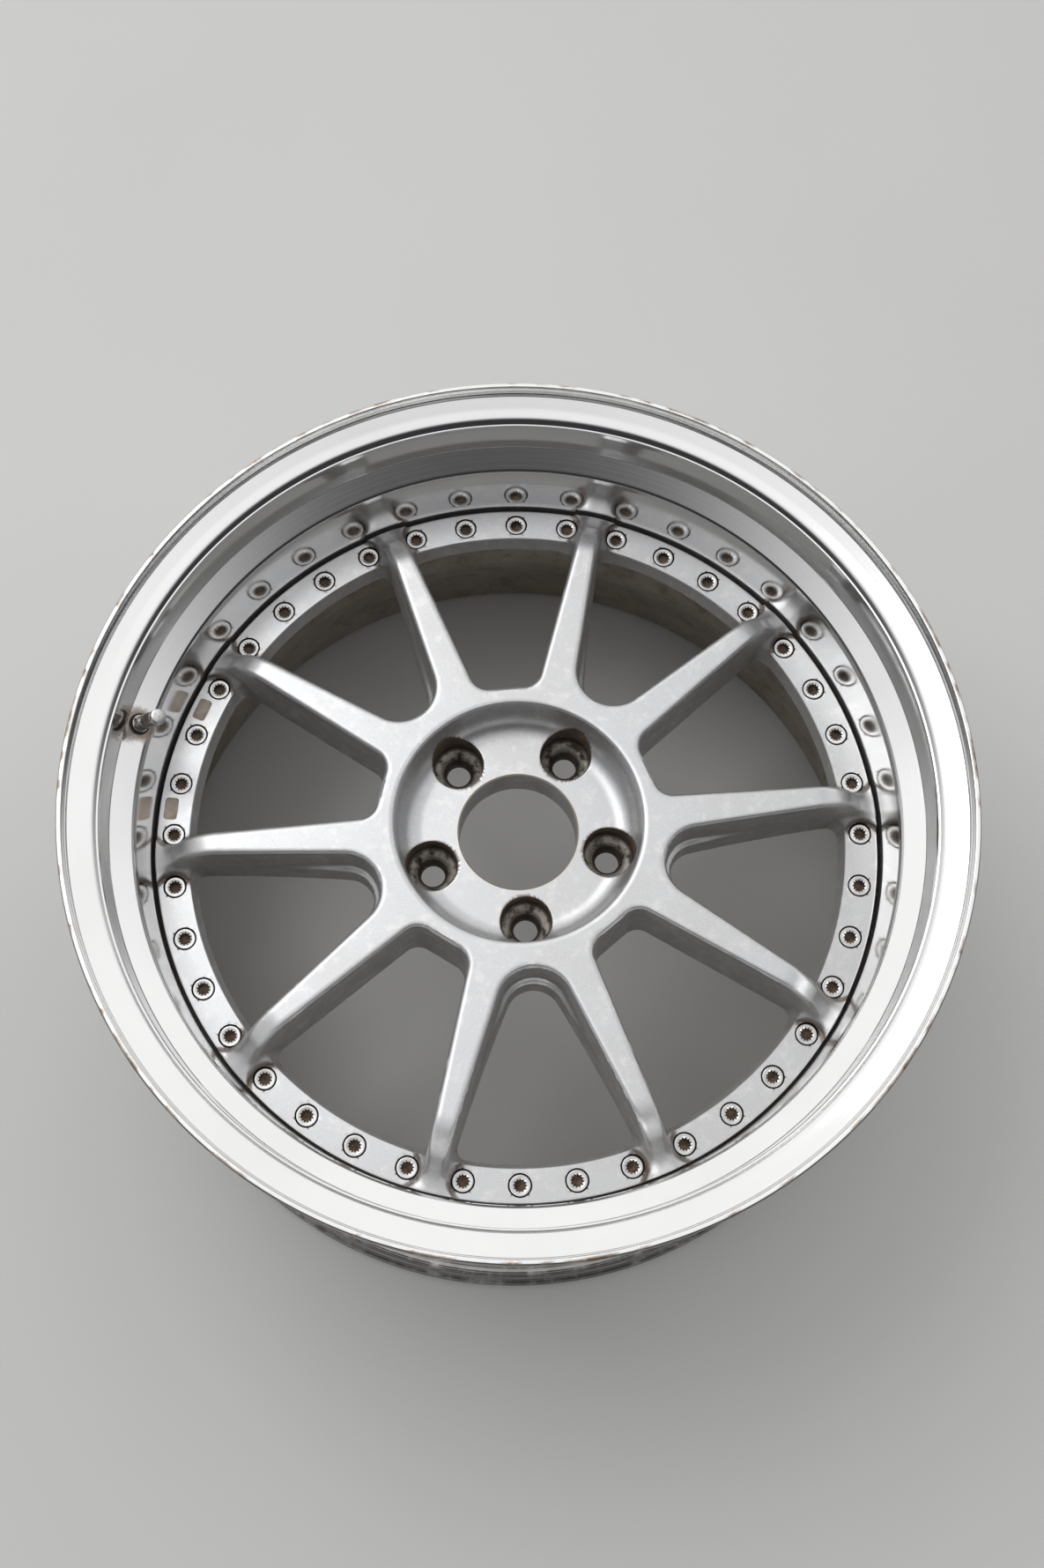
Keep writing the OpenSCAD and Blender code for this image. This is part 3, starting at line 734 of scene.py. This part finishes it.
def cap_mesh():
    """Fluted cap with a chamfered blank top and a bore for the stem."""
    segments, flutes = 216, 18
    turns = around(segments)
    groove = 0.42 * np.clip(1.6 * np.cos(turns * flutes) - 0.35, 0, 1)
    side = [(4.65 - groove * depth, z)
            for z, depth in ((13.1, 0), (13.5, 0.8), (13.9, 1), (22.6, 1), (23, 0.8), (23.4, 0))]
    rows = [(4.05, 12), (4.45, 12), (4.65, 12.2), (4.65, 13), *side, (4.65, 24.2), (4.5, 24.4),
            (4.5, 24.8), (4.65, 25), (4.65, 27.9), (4.1, 28.5), (3.9, CAP_TOP),
            (0.3, CAP_TOP)]
    inside = [(0.3, 26.1), (1.5, 26.1), (1.6, 25.4), (4.1, 25.4), (4.1, 24.1), (4.02, 24),
              (4.02, 12.3)]
    return turned(rows + inside, segments)


def spring_mesh():
    """Wire coil between the core's shelf and the pin's collar."""
    low, high, wire, coil, turns_count, sides = 9.76, 16.04, 0.14, 1.0, 6, 10
    steps = turns_count * 28
    verts, faces = [], []
    for i in range(steps + 1):
        a = math.tau * turns_count * i / steps
        # the end turns lie flat, as on a ground spring
        share = np.interp(i / steps, [0, 0.1, 0.9, 1], [0, 0.02, 0.98, 1])
        for k in range(sides):
            b = math.tau * k / sides
            r = coil + wire * math.cos(b)
            verts.append((r * math.cos(a), r * math.sin(a),
                          low + (high - low) * share + wire * math.sin(b)))
    for i in range(steps):
        for k in range(sides):
            a, b = i * sides + k, i * sides + (k + 1) % sides
            faces.append((a + sides, b + sides, b, a))
    faces.append(tuple(range(sides)))
    faces.append(tuple(steps * sides + k for k in reversed(range(sides))))
    return verts, faces


# ---- materials ----

class Paint:
    """A Principled material and short ways to add the nodes that drive it."""

    def __init__(self, name, color, metallic, roughness, **sockets):
        self.material = bpy.data.materials.new(name)
        self.material.use_nodes = True
        self.tree = self.material.node_tree
        self.shader = self.tree.nodes["Principled BSDF"]
        sockets.update(Base_Color=(*color, 1), Metallic=metallic, Roughness=roughness)
        for key, value in sockets.items():
            self.shader.inputs[key.replace("_", " ")].default_value = value
        self.object_coords = self.node("ShaderNodeTexCoord", {}, "Object")

    def node(self, kind, inputs, output=0, **settings):
        """Adds a node fed with values or with other nodes' outputs, and gives one of its own."""
        made = self.tree.nodes.new(kind)
        for key, value in settings.items():
            setattr(made, key, value)
        for key, value in inputs.items():
            target = made.inputs[key]
            if isinstance(value, bpy.types.NodeSocket):
                self.tree.links.new(value, target)
            else:
                target.default_value = (*value, 1) if target.type == "RGBA" else value
        return made.outputs[output]

    def finish(self, color, roughness=None, metallic=None, normal=None):
        """Drives the shader, and gives the material."""
        for key, output in (("Base Color", color), ("Roughness", roughness),
                            ("Metallic", metallic), ("Normal", normal)):
            if output is not None:
                self.tree.links.new(output, self.shader.inputs[key])
        return self.material

    def math(self, operation, a, b, clamp=False):
        return self.node("ShaderNodeMath", {0: a, 1: b}, operation=operation, use_clamp=clamp)

    def times(self, a, b, clamp=False):
        return self.math("MULTIPLY", a, b, clamp)

    def most(self, a, b):
        return self.math("MAXIMUM", a, b)

    def mix(self, share, a, b):
        """Colour a, or colour b where share is 1."""
        return self.node("ShaderNodeMix", {"Factor": share, 6: a, 7: b}, 2, data_type="RGBA")

    def blend(self, share, a, b):
        """Number a, or number b where share is 1."""
        return self.node("ShaderNodeMix", {"Factor": share, 2: a, 3: b}, data_type="FLOAT")

    def mottle(self, value, low, high, a, b):
        """Colour a where a value is low, b where it is high."""
        return self.mix(self.step(value, low, high), a, b)

    def tint(self, base, color, share, amount):
        """Some of a colour over the base, where share is 1."""
        return self.mix(self.times(share, amount), base, color)

    def noise(self, scale, detail, roughness, vector=None):
        inputs = {"Vector": vector or self.object_coords, "Scale": scale, "Detail": detail,
                  "Roughness": roughness}
        return self.node("ShaderNodeTexNoise", inputs, "Fac")

    def turning(self, r, z, scale, detail, roughness):
        """Noise that runs in rings around the wheel, as turning leaves it."""
        inputs = {"X": self.times(r, scale), "Z": self.times(z, scale)}
        return self.noise(1, detail, roughness, self.node("ShaderNodeCombineXYZ", inputs))

    def step(self, value, low, high):
        """Smooth step from 0 at low to 1 at high; low may be the larger."""
        inputs = {"Value": value, "From Min": min(low, high), "From Max": max(low, high),
                  "To Min": float(low > high), "To Max": float(low <= high)}
        return self.node("ShaderNodeMapRange", inputs, "Result", interpolation_type="SMOOTHSTEP")

    def attribute(self, name):
        return self.node("ShaderNodeAttribute", {}, "Fac", attribute_name=name)

    def ring_coords(self):
        """(radius, height) of the point about the wheel's axis, in metres."""
        x, y, z = self.node("ShaderNodeSeparateXYZ", {0: self.object_coords}).node.outputs
        square = self.math("ADD", self.times(x, x), self.times(y, y))
        return self.math("SQRT", square, 0.0), z

    def distance_to(self, point):
        inputs = {0: self.object_coords, 1: point}
        return self.node("ShaderNodeVectorMath", inputs, "Value", operation="DISTANCE")

    def bump(self, height, distance, strength, under=None):
        inputs = {"Height": height, "Distance": distance, "Strength": strength}
        if under is not None:
            inputs["Normal"] = under
        return self.node("ShaderNodeBump", inputs)


BROWN = (0.105, 0.066, 0.040)
SOOT = (0.020, 0.018, 0.016)


def stud_holes(p, base, z, lug):
    """Colour of the stud holes, dark brown as painted shade and darker towards the bottom, and where the nuts have
    scuffed them.
    """
    smudge = p.noise(150, 5, 0.65)
    scuffed = p.times(p.times(p.step(z, 0.0146, 0.0136), p.step(z, 0.0096, 0.0108)),
                      p.times(lug, p.step(smudge, 0.36, 0.58)))
    bore = p.mottle(smudge, 0.3, 0.7, (0.030, 0.022, 0.017), (0.085, 0.060, 0.043))
    upper = p.mottle(smudge, 0.3, 0.75, (0.085, 0.058, 0.040), (0.19, 0.14, 0.10))
    # painted shade in the stud holes: darkest down the bore, lighter up the seat
    base = p.mix(lug, base, p.mottle(z, 0.013, 0.024, bore, upper))
    return p.mix(scuffed, base, (0.42, 0.385, 0.34)), scuffed


def silver_paint():
    """Satin metallic paint: fine flakes, brown grime from the brakes with painted shade in the corners and
    hollows, painted shade on the side walls, in the stud holes and in the bolt counterbores, bare metal at worn
    edges.
    """
    p = Paint("silver_paint", (0.55, 0.55, 0.545), 0.85, 0.38, Coat_Weight=0.1,
              Coat_Roughness=0.3)
    crevice, hollow, edge, lug, pit, wall, mark = (
        p.attribute(name) for name in ("crevice", "hollow", "edge", "lug", "pit", "wall", "mark"))
    r, z = p.ring_coords()
    flakes, clouds, streaks = p.noise(2600, 2, 0.6), p.noise(14, 5, 0.6), p.noise(55, 6, 0.65)
    base = p.mottle(flakes, 0.35, 0.7, (0.51, 0.514, 0.522), (0.645, 0.649, 0.658))
    base = p.tint(base, (0.43, 0.415, 0.39), p.step(clouds, 0.42, 0.8), 0.25)
    # painted shade on the side walls, a dark brown-grey with a film of dust in it; brown dust with painted shade
    # is thicker in hollows and towards the rim
    patchy = p.blend(0.65, 1.0, p.step(streaks, 0.3, 0.7))
    film = p.times(wall, p.times(patchy, 0.62))
    base = p.mix(film, base, (0.30, 0.275, 0.24))
    # painted shade in the hollows, with brake dust, stronger towards the rim
    amount = p.blend(p.step(r, 0.06, 0.20), 0.6, 1.0)
    dust_and_shade = p.times(p.times(p.step(hollow, 0.1, 0.95), patchy), amount, clamp=True)
    base = p.tint(base, (0.25, 0.195, 0.145), dust_and_shade, 0.8)
    # dark brown in the crevices and along the pads: brake dust with painted shade
    deep = p.blend(p.step(r, 0.17, 0.20), p.step(crevice, 0.2, 0.95), p.step(crevice, 0.05, 0.7))
    corner_dust_and_shade = p.times(deep, p.blend(0.4, 1.0, patchy))
    base = p.tint(base, BROWN, corner_dust_and_shade, 0.9)
    worn = p.times(p.step(edge, 0.35, 0.9), p.step(p.noise(120, 4, 0.7), 0.5, 0.7))
    base = p.tint(base, (0.78, 0.77, 0.75), worn, 0.35)
    base, scuffed = stud_holes(p, base, z, lug)
    # bare metal at the mouth of the centre bore
    bare = p.times(p.step(r, 0.0382, 0.0374), p.step(z, 0.0262, 0.0268))
    base = p.mix(bare, base, (0.62, 0.57, 0.50))
    # counterbores of the bolts, painted near black as painted shade around the bolt heads, and the sunk marks
    base = p.mix(pit, base, (0.022, 0.019, 0.017))
    base = p.tint(base, p.mottle(streaks, 0.35, 0.65, (0.31, 0.25, 0.19), (0.50, 0.43, 0.36)),
                  mark, 0.9)
    # dirt, the mask of rougher and less metallic paint, also takes in the painted shade of the side walls,
    # hollows, corners, stud holes and counterbores
    dirt = p.times(p.most(dust_and_shade, film), 0.7)
    for covered in (corner_dust_and_shade, lug, pit, mark):
        dirt = p.most(dirt, covered)
    dirt = p.math("MINIMUM", dirt, p.math("SUBTRACT", 1.0, p.times(scuffed, 0.7)))
    uneven = p.times(p.math("SUBTRACT", streaks, 0.5), 0.12)
    fine = p.bump(flakes, 0.00002, 0.35)
    return p.finish(base, p.math("ADD", p.blend(dirt, 0.38, 0.72), uneven),
                    p.blend(dirt, 0.85, 0.15), p.bump(p.noise(260, 3, 0.6), 0.00008, 0.25, fine))


def polished_lip():
    """Polished metal with lathe lines, a stained foot, kerb marks and a dull tyre side."""
    p = Paint("polished_lip", (0.89, 0.89, 0.885), 1.0, 0.1)
    r, z = p.ring_coords()
    rings, wide_rings = p.turning(r, z, 2600, 5, 0.7), p.turning(r, z, 420, 3, 0.6)
    smear, fine_smear = p.noise(9, 5, 0.6), p.noise(70, 5, 0.7)
    tyre_side, chips = p.attribute("tyre_side"), p.attribute("kerb")
    foot = p.times(p.step(z, 0.0265, 0.0125), p.step(fine_smear, 0.28, 0.62))
    gap = p.step(z, 0.0150, 0.0128)
    ragged = p.times(p.math("SUBTRACT", fine_smear, 0.5), 0.02)
    stain = p.step(p.math("ADD", p.distance_to(on_stem(0)), ragged), 0.0135, 0.0065)
    base = p.tint((0.90, 0.90, 0.895), (0.78, 0.775, 0.765), p.step(smear, 0.4, 0.75), 0.35)
    base = p.tint(base, (0.42, 0.36, 0.29), foot, 0.5)
    base = p.tint(base, BROWN, gap, 0.8)
    base = p.tint(base, (0.30, 0.16, 0.07), stain, 0.7)
    # the tyre side is turned but never polished
    base = p.mix(tyre_side, base,
                 p.mottle(smear, 0.35, 0.7, (0.50, 0.49, 0.47), (0.36, 0.345, 0.32)))
    base = p.mix(chips, base,
                 p.mottle(fine_smear, 0.4, 0.6, (0.30, 0.24, 0.19), (0.58, 0.54, 0.50)))
    rough = p.math("ADD", 0.085, p.times(p.step(smear, 0.3, 0.8), 0.07))
    rough = p.math("ADD", rough, p.times(p.step(wide_rings, 0.45, 0.75), 0.05))
    rough = p.blend(p.most(p.times(foot, 0.6), gap), rough, 0.5)
    rough = p.blend(p.most(stain, p.most(chips, tyre_side)), rough, 0.48)
    metal = p.blend(p.most(gap, p.times(stain, 0.7)), 1.0, 0.3)
    lines = p.bump(wide_rings, 0.00003, 0.25, p.bump(rings, 0.000012, 0.5))
    nicks = p.times(p.noise(900, 4, 0.7), chips)
    return p.finish(base, rough, metal, p.bump(nicks, 0.0004, 0.8, lines))


def dull_barrel():
    """Turned barrel, never polished: brown film inside, black rubber left along the tyre side."""
    p = Paint("dull_barrel", (0.45, 0.43, 0.40), 0.8, 0.45)
    r, z = p.ring_coords()
    rings, bands = p.turning(r, z, 1300, 4, 0.6), p.turning(r, z, 260, 4, 0.7)
    film, spots = p.noise(7, 6, 0.65), p.noise(60, 6, 0.7)
    tyre_side = p.attribute("tyre_side")
    base = p.mottle(film, 0.35, 0.7, (0.36, 0.31, 0.25), (0.52, 0.48, 0.42))
    base = p.tint(base, (0.17, 0.12, 0.08), p.step(spots, 0.5, 0.72), 0.5)
    outside = p.mottle(film, 0.35, 0.7, (0.62, 0.61, 0.59), (0.50, 0.49, 0.47))
    base = p.mix(tyre_side, base, outside)
    seat = p.times(p.step(z, -0.112, -0.124), tyre_side)
    rubber = p.times(p.times(seat, p.step(bands, 0.44, 0.56)), p.step(spots, 0.3, 0.55))
    base = p.tint(base, SOOT, rubber, 0.9)
    return p.finish(base, p.blend(rubber, p.blend(p.step(spots, 0.4, 0.7), 0.36, 0.58), 0.85),
                    p.blend(rubber, p.blend(p.step(spots, 0.5, 0.8), 0.85, 0.45), 0.0),
                    p.bump(spots, 0.00015, 0.3, p.bump(rings, 0.00003, 0.5)))


def bolt_steel():
    """Turned heads, dark rust inside the sockets and on the threads."""
    p = Paint("bolt_steel", (0.70, 0.69, 0.67), 1.0, 0.3)
    rust = p.attribute("socket")
    grain, blotch = p.noise(1500, 4, 0.65), p.noise(240, 5, 0.7)
    head = p.mottle(blotch, 0.35, 0.75, (0.60, 0.60, 0.595), (0.50, 0.485, 0.465))
    socket = p.mottle(blotch, 0.3, 0.65, (0.045, 0.030, 0.020), (0.19, 0.13, 0.085))
    rough = p.blend(rust, p.blend(p.step(grain, 0.3, 0.7), 0.30, 0.45), 0.75)
    return p.finish(p.mix(rust, head, socket), rough, p.blend(rust, 1.0, 0.25),
                    p.bump(grain, 0.00003, 0.4))


def worn_metal(name, light, dark, roughness, scale, dirt):
    """Small metal parts: blotchy finish with dirt in patches."""
    p = Paint(name, light, 1.0, roughness)
    blotch, spots = p.noise(scale, 5, 0.65), p.noise(scale * 3.1, 5, 0.7)
    grime = p.times(p.step(spots, 0.52, 0.75), dirt)
    return p.finish(p.mix(grime, p.mottle(blotch, 0.35, 0.7, light, dark), BROWN),
                    p.blend(p.step(blotch, 0.3, 0.75), roughness, roughness + 0.16),
                    p.blend(grime, 1.0, 0.3), p.bump(spots, 0.00005, 0.3))


def cap_finish():
    """Metal top, and the fluted side painted dark: painted shade in the flutes, with some grime."""
    p = Paint("cap_finish", (0.8, 0.8, 0.8), 1.0, 0.26)
    blotch = p.noise(220, 5, 0.65)
    shaded_grip = p.step(p.distance_to(on_stem(CAP_TOP)), 0.0048, 0.0075)
    top = p.mottle(blotch, 0.35, 0.7, (0.84, 0.84, 0.84), (0.70, 0.69, 0.68))
    # the fluted side is painted dark brown-grey as painted shade, with some grime
    side = p.mottle(blotch, 0.35, 0.7, (0.30, 0.28, 0.25), (0.13, 0.11, 0.09))
    return p.finish(p.mix(shaded_grip, top, side), p.blend(p.step(blotch, 0.3, 0.75), 0.24, 0.42),
                    p.blend(shaded_grip, 1.0, 0.75), p.bump(blotch, 0.00005, 0.3))


def soft_matt(name, light, dark, roughness, scale, bump_distance):
    """Rubber and sealant: matt, slightly mottled, with a fine skin texture."""
    p = Paint(name, light, 0.0, roughness, Specular_IOR_Level=0.35)
    blotch, skin = p.noise(scale, 5, 0.6), p.noise(scale * 8, 4, 0.6)
    rough = p.blend(p.step(skin, 0.3, 0.7), roughness, min(1.0, roughness + 0.12))
    return p.finish(p.mottle(blotch, 0.3, 0.75, light, dark), rough, None,
                    p.bump(skin, bump_distance, 0.5))


# ---- the pieces ----

def tyre_side_of(verts, middle):
    """1 on the tyre side of a wall, 0 on its inner side; middle gives the radius between them."""
    return (radius_of(verts) > middle(verts[:, 2])).astype(float)


def inner_middle(z):
    """Radius halfway through the barrel's wall at height z, in millimetres."""
    return np.interp(z, [-156, -146, -117, -106, -68, -60, 8],
                     [256, 241.8, 240.7, 238.7, 228.2, 226.6, 226.6])


def outer_middle(z):
    """Radius halfway through the outer half's wall at height z, in millimetres."""
    return np.interp(z, [8, 30, 60, 72, 78, 96, 100, 105, 117],
                     [226.3, 226.6, 228.6, 238, 241.5, 242.4, 247, 257.5, 261])


def disc_marks(verts, marks):
    """Marks of the disc's surface, with the dirt and painted shade along the pads, and the stud holes, bolt
    counterbores and recesses added.
    """
    local = np.arctan2(verts[:, 1], verts[:, 0]) - FIRST_WINDOW
    local = (local + WINDOW_STEP) % (2 * WINDOW_STEP) - WINDOW_STEP
    radius, z = radius_of(verts), verts[:, 2]
    u, v = radius * np.cos(local), radius * np.sin(np.abs(local))
    # brake dust and painted shade along the sides of the pads, added to the crevices
    foot = (1 - np.abs(pad_side(radius, u, v) - 0.8) / 3.5) * (z > FLANGE_TOP_Z - 1)
    foot = foot * np.clip((radius - 200) / 4, 0, 1) * np.clip((FLANGE_TOP_Z + 8 - z) / 4, 0, 1)
    pit = (bolt_cuts(u, v, z) < 0.2) & (z < FLANGE_TOP_Z + 1.2)
    sunk = (z < FLANGE_TOP_Z - 0.15) & (z > FLANGE_TOP_Z - 1)
    sunk &= (radius > 210) & (radius < 220.5) & ~pit
    return {
        **marks,
        "crevice": np.maximum(marks["crevice"], np.clip(foot, 0, 1)),
        "lug": (np.abs(lug_cut(u, v, z)) < 0.35).astype(float),
        "pit": pit.astype(float),
        "mark": sunk.astype(float),
    }


def build_disc():
    cells_per_half, grid_step = ((80, 1.7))
    verts, faces, marks = disc_mesh(cells_per_half, grid_step)
    make_piece("forged_disc", verts, faces, "centre_disc", silver_paint(),
               attributes=disc_marks(verts, marks))


def lip_marks(verts):
    """Tyre side and kerb marks of the polished half."""
    angle = np.arctan2(verts[:, 1], verts[:, 0])
    rough = sum(np.sin(angle * f + p) for f, p in ((7, 0.4), (17, 2.1), (41, 1.3), (97, 0.2))) / 4
    on_edge = (np.clip((radius_of(verts) - 258.2) / 1.5, 0, 1)
               * np.clip((verts[:, 2] - 104) / 6, 0, 1))
    kerb = on_edge * np.clip((rough - 0.04) * 5, 0, 1)
    return {"tyre_side": tyre_side_of(verts, outer_middle), "kerb": kerb}


def build_outer_half():
    """Polished half, with the stepped hole and the washer's seat cut for the valve."""
    verts, faces = rim_mesh(outer_half_profile(), DISC_R, JOINT_Z, JOINT_Z + SHELL_T)
    outer = make_piece("polished_outer_rim", verts, faces, "outer_rim_half", polished_lip(),
                       attributes=lip_marks(np.array(verts)))
    hole = [(0.01, -11.8), (7.8, -11.8), (7.8, -3.8), (5.65, -3.8), (5.65, -0.2), (7, -0.2),
            (7, 6), (0.01, 6)]
    cut(outer, *at_valve(*turned(hole, 64, closed=False)))


def build_inner_half():
    verts, faces = rim_mesh(inner_half_profile(), BARREL_FLANGE_R, JOINT_Z - SHELL_T, JOINT_Z)
    make_piece("inner_barrel", verts, faces, "inner_rim_half", dull_barrel(),
               attributes={"tyre_side": tyre_side_of(np.array(verts), inner_middle)})


def seal_mesh(segments=360):
    """Hand-laid bead of sealant: a half round of slightly uneven size."""
    turns = around(segments)
    swell = 0.93 + 0.04 * np.sin(turns * 23) * np.sin(turns * 5 + 1) + 0.02 * np.sin(turns * 61)
    rows = [(WELL_R - 0.2, JOINT_Z + 4.6), (WELL_R - 0.2, JOINT_Z - 4.6)]
    rows += [(WELL_R + 5 * swell * math.cos(a), JOINT_Z + 5 * swell * math.sin(a))
             for a in np.radians(np.linspace(-84, 84, 13))]
    return turned(rows, segments)


def build_sealant():
    sealant = soft_matt("sealant", (0.56, 0.55, 0.51), (0.66, 0.65, 0.62), 0.55, 25, 0.0001)
    make_piece("sealant_bead", *seal_mesh(), "rim_seal_bead", sealant)


def rust_of(verts):
    """1 inside a bolt's socket and on its threaded end."""
    z = verts[:, 2]
    socket = (radius_of(verts) < 4.15) & (z > BOLT_SEAT_Z) & (z < BOLT_TOP_Z - 0.5)
    return (socket | (z < NUT_LOW[2])).astype(float)


def spin_of(k):
    """Each fastener ends up at its own angle."""
    return (k * 2.399963) % math.tau


def build_fasteners():
    """Forty bolts with their nuts and washers."""
    circle = BOLT_PCR, BOLT_COUNT, BOLT_STEP / 2
    bolt = bolt_mesh()
    make_piece("socket_bolts", *around_rim(*bolt, *circle, spin_of), "assembly_bolts",
               bolt_steel(),
               attributes={"socket": np.tile(rust_of(np.array(bolt[0])), BOLT_COUNT)})
    zinc = worn_metal("nut_steel", (0.52, 0.51, 0.49), (0.38, 0.36, 0.33), 0.34, 150, 0.7)
    make_piece("hexagon_nuts", *around_rim(*nut_mesh(), *circle, spin_of), "assembly_nuts", zinc)
    washer = ring_mesh(BOLT_HOLE_R, 6.5, NUT_HIGH[2], NUT_HIGH[2] + 1.2, 0.25)
    make_piece("flat_washers", *around_rim(*washer, *circle), "assembly_washers", zinc)


def build_valve(rubber):
    """Stem, cap and the core's spring, which gets a mesh of its own; in the real valve the spring is squashed as
    the pin is pressed.
    """
    nickel = worn_metal("valve_nickel", (0.50, 0.48, 0.45), (0.26, 0.23, 0.20), 0.30, 260, 0.8)
    bright = worn_metal("cap_metal", (0.80, 0.80, 0.80), (0.66, 0.65, 0.64), 0.26, 220, 0.35)
    wire = worn_metal("spring_steel", (0.62, 0.62, 0.63), (0.46, 0.45, 0.44), 0.27, 900, 0.3)
    washer = ring_mesh(3.98, 5.2, 1.6, 2.4, 0.2)
    make_piece("threaded_stem", *at_valve(*stem_mesh()), "valve_stem", nickel)
    make_piece("rubber_grommet", *at_valve(*grommet_mesh()), "valve_grommet", rubber)
    make_piece("stem_washer", *at_valve(*washer), "valve_washer", bright, "valve_nickel")
    make_piece("stem_nut", *at_valve(*valve_nut_mesh()), "valve_nut", nickel)
    make_piece("fluted_cap", *at_valve(*cap_mesh()), "valve_cap", cap_finish(), "cap_metal",
               "valve_cap")
    spring = make_piece("core_spring", *at_valve(*spring_mesh()), "valve_core_spring", wire)
    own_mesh(spring)


def paint_cad_nodes(rubber):
    """Materials of the small CAD nodes that are kept as they are."""
    brass = worn_metal("core_brass", (0.72, 0.54, 0.25), (0.58, 0.41, 0.18), 0.28, 500, 0.3)
    red = soft_matt("core_gasket", (0.52, 0.11, 0.06), (0.40, 0.08, 0.05), 0.5, 600, 0.00002)
    for node, material in (
        ("valve_inner_seal", rubber), ("valve_core_seal", rubber), ("cap_gasket", rubber),
        ("valve_core_plug", brass), ("valve_core_barrel", brass), ("valve_core_pin", brass),
        ("valve_core_gasket", red),
    ):
        slots = frame["nodes"][node].data.materials
        slots.clear()
        slots.append(material)


# ---- camera, floor and light ----

def add_camera():
    """The photo's view, solved from the circles of the wheel."""
    camera = bpy.data.cameras.new("camera")
    camera.lens, camera.sensor_width = 39.055, 36
    placed = new_object("camera", camera)
    location = Vector((-0.03927, -0.30119, 1.02845))
    forward = Vector((0.04192331, 0.31437663, -0.94837217))
    up = Vector((0.07537967, 0.94550611, 0.31675875))
    right = forward.cross(up).normalized()
    turn = Matrix((right, up, -forward)).transposed()
    placed.matrix_world = Matrix.Translation(location) @ turn.to_4x4()
    bpy.context.scene.camera = placed


def add_floor():
    corners = [(-1, -1), (1, -1), (1, 1), (-1, 1)]
    mesh = new_mesh("floor", [(x * FLOOR_HALF, y * FLOOR_HALF, BOTTOM_Z) for x, y in corners],
                    [(0, 1, 2, 3)])
    p = Paint("floor", (0.62, 0.62, 0.61), 0.0, 0.8)
    pale = p.mix(p.noise(3, 3, 0.5), (0.60, 0.60, 0.59), (0.64, 0.64, 0.63))
    mesh.materials.append(p.finish(pale))
    new_object("floor", mesh)


def add_light(name, location, size, power):
    """Square area light that points at the hub."""
    light = bpy.data.lights.new(name, "AREA")
    light.shape, light.size, light.size_y = "RECTANGLE", size, size
    light.energy = power
    placed = new_object(name, light)
    placed.location = location
    placed.rotation_mode = "QUATERNION"
    placed.rotation_quaternion = (-Vector(location)).to_track_quat("-Z", "Y")


def add_world():
    """Soft studio: bright above and ahead, dark low down behind the camera."""
    world = bpy.data.worlds.new("studio")
    bpy.context.scene.world = world
    world.use_nodes = True
    nodes, link = world.node_tree.nodes, world.node_tree.links.new
    coords, ramp = nodes.new("ShaderNodeTexCoord"), nodes.new("ShaderNodeValToRGB")
    tilt = nodes.new("ShaderNodeVectorMath")
    tilt.operation = "DOT_PRODUCT"
    tilt.inputs[1].default_value = (0.0, 0.52, 0.66)
    link(coords.outputs["Generated"], tilt.inputs[0])
    link(tilt.outputs["Value"], ramp.inputs[0])
    link(ramp.outputs[0], nodes["Background"].inputs["Color"])
    low, high = ramp.color_ramp.elements
    low.position, low.color = 0.04, (0.035, 0.035, 0.038, 1)
    high.position, high.color = 0.55, (1.0, 1.0, 1.0, 1)
    for position, level in ((0.16, 0.10), (0.26, 0.42), (0.38, 0.80)):
        ramp.color_ramp.elements.new(position).color = (level, level, level * 1.02, 1)


def main():
    add_camera()
    add_floor()
    add_world()
    add_light("key", (-0.9, 0.9, 2.0), 1.4, 15)
    bpy.context.scene.view_settings.view_transform = "Standard"
    build_disc()
    build_outer_half()
    build_inner_half()
    build_sealant()
    build_fasteners()
    rubber = soft_matt("valve_rubber", (0.022, 0.021, 0.020), (0.045, 0.040, 0.034), 0.62, 300,
                       0.00003)
    build_valve(rubber)
    paint_cad_nodes(rubber)


main()
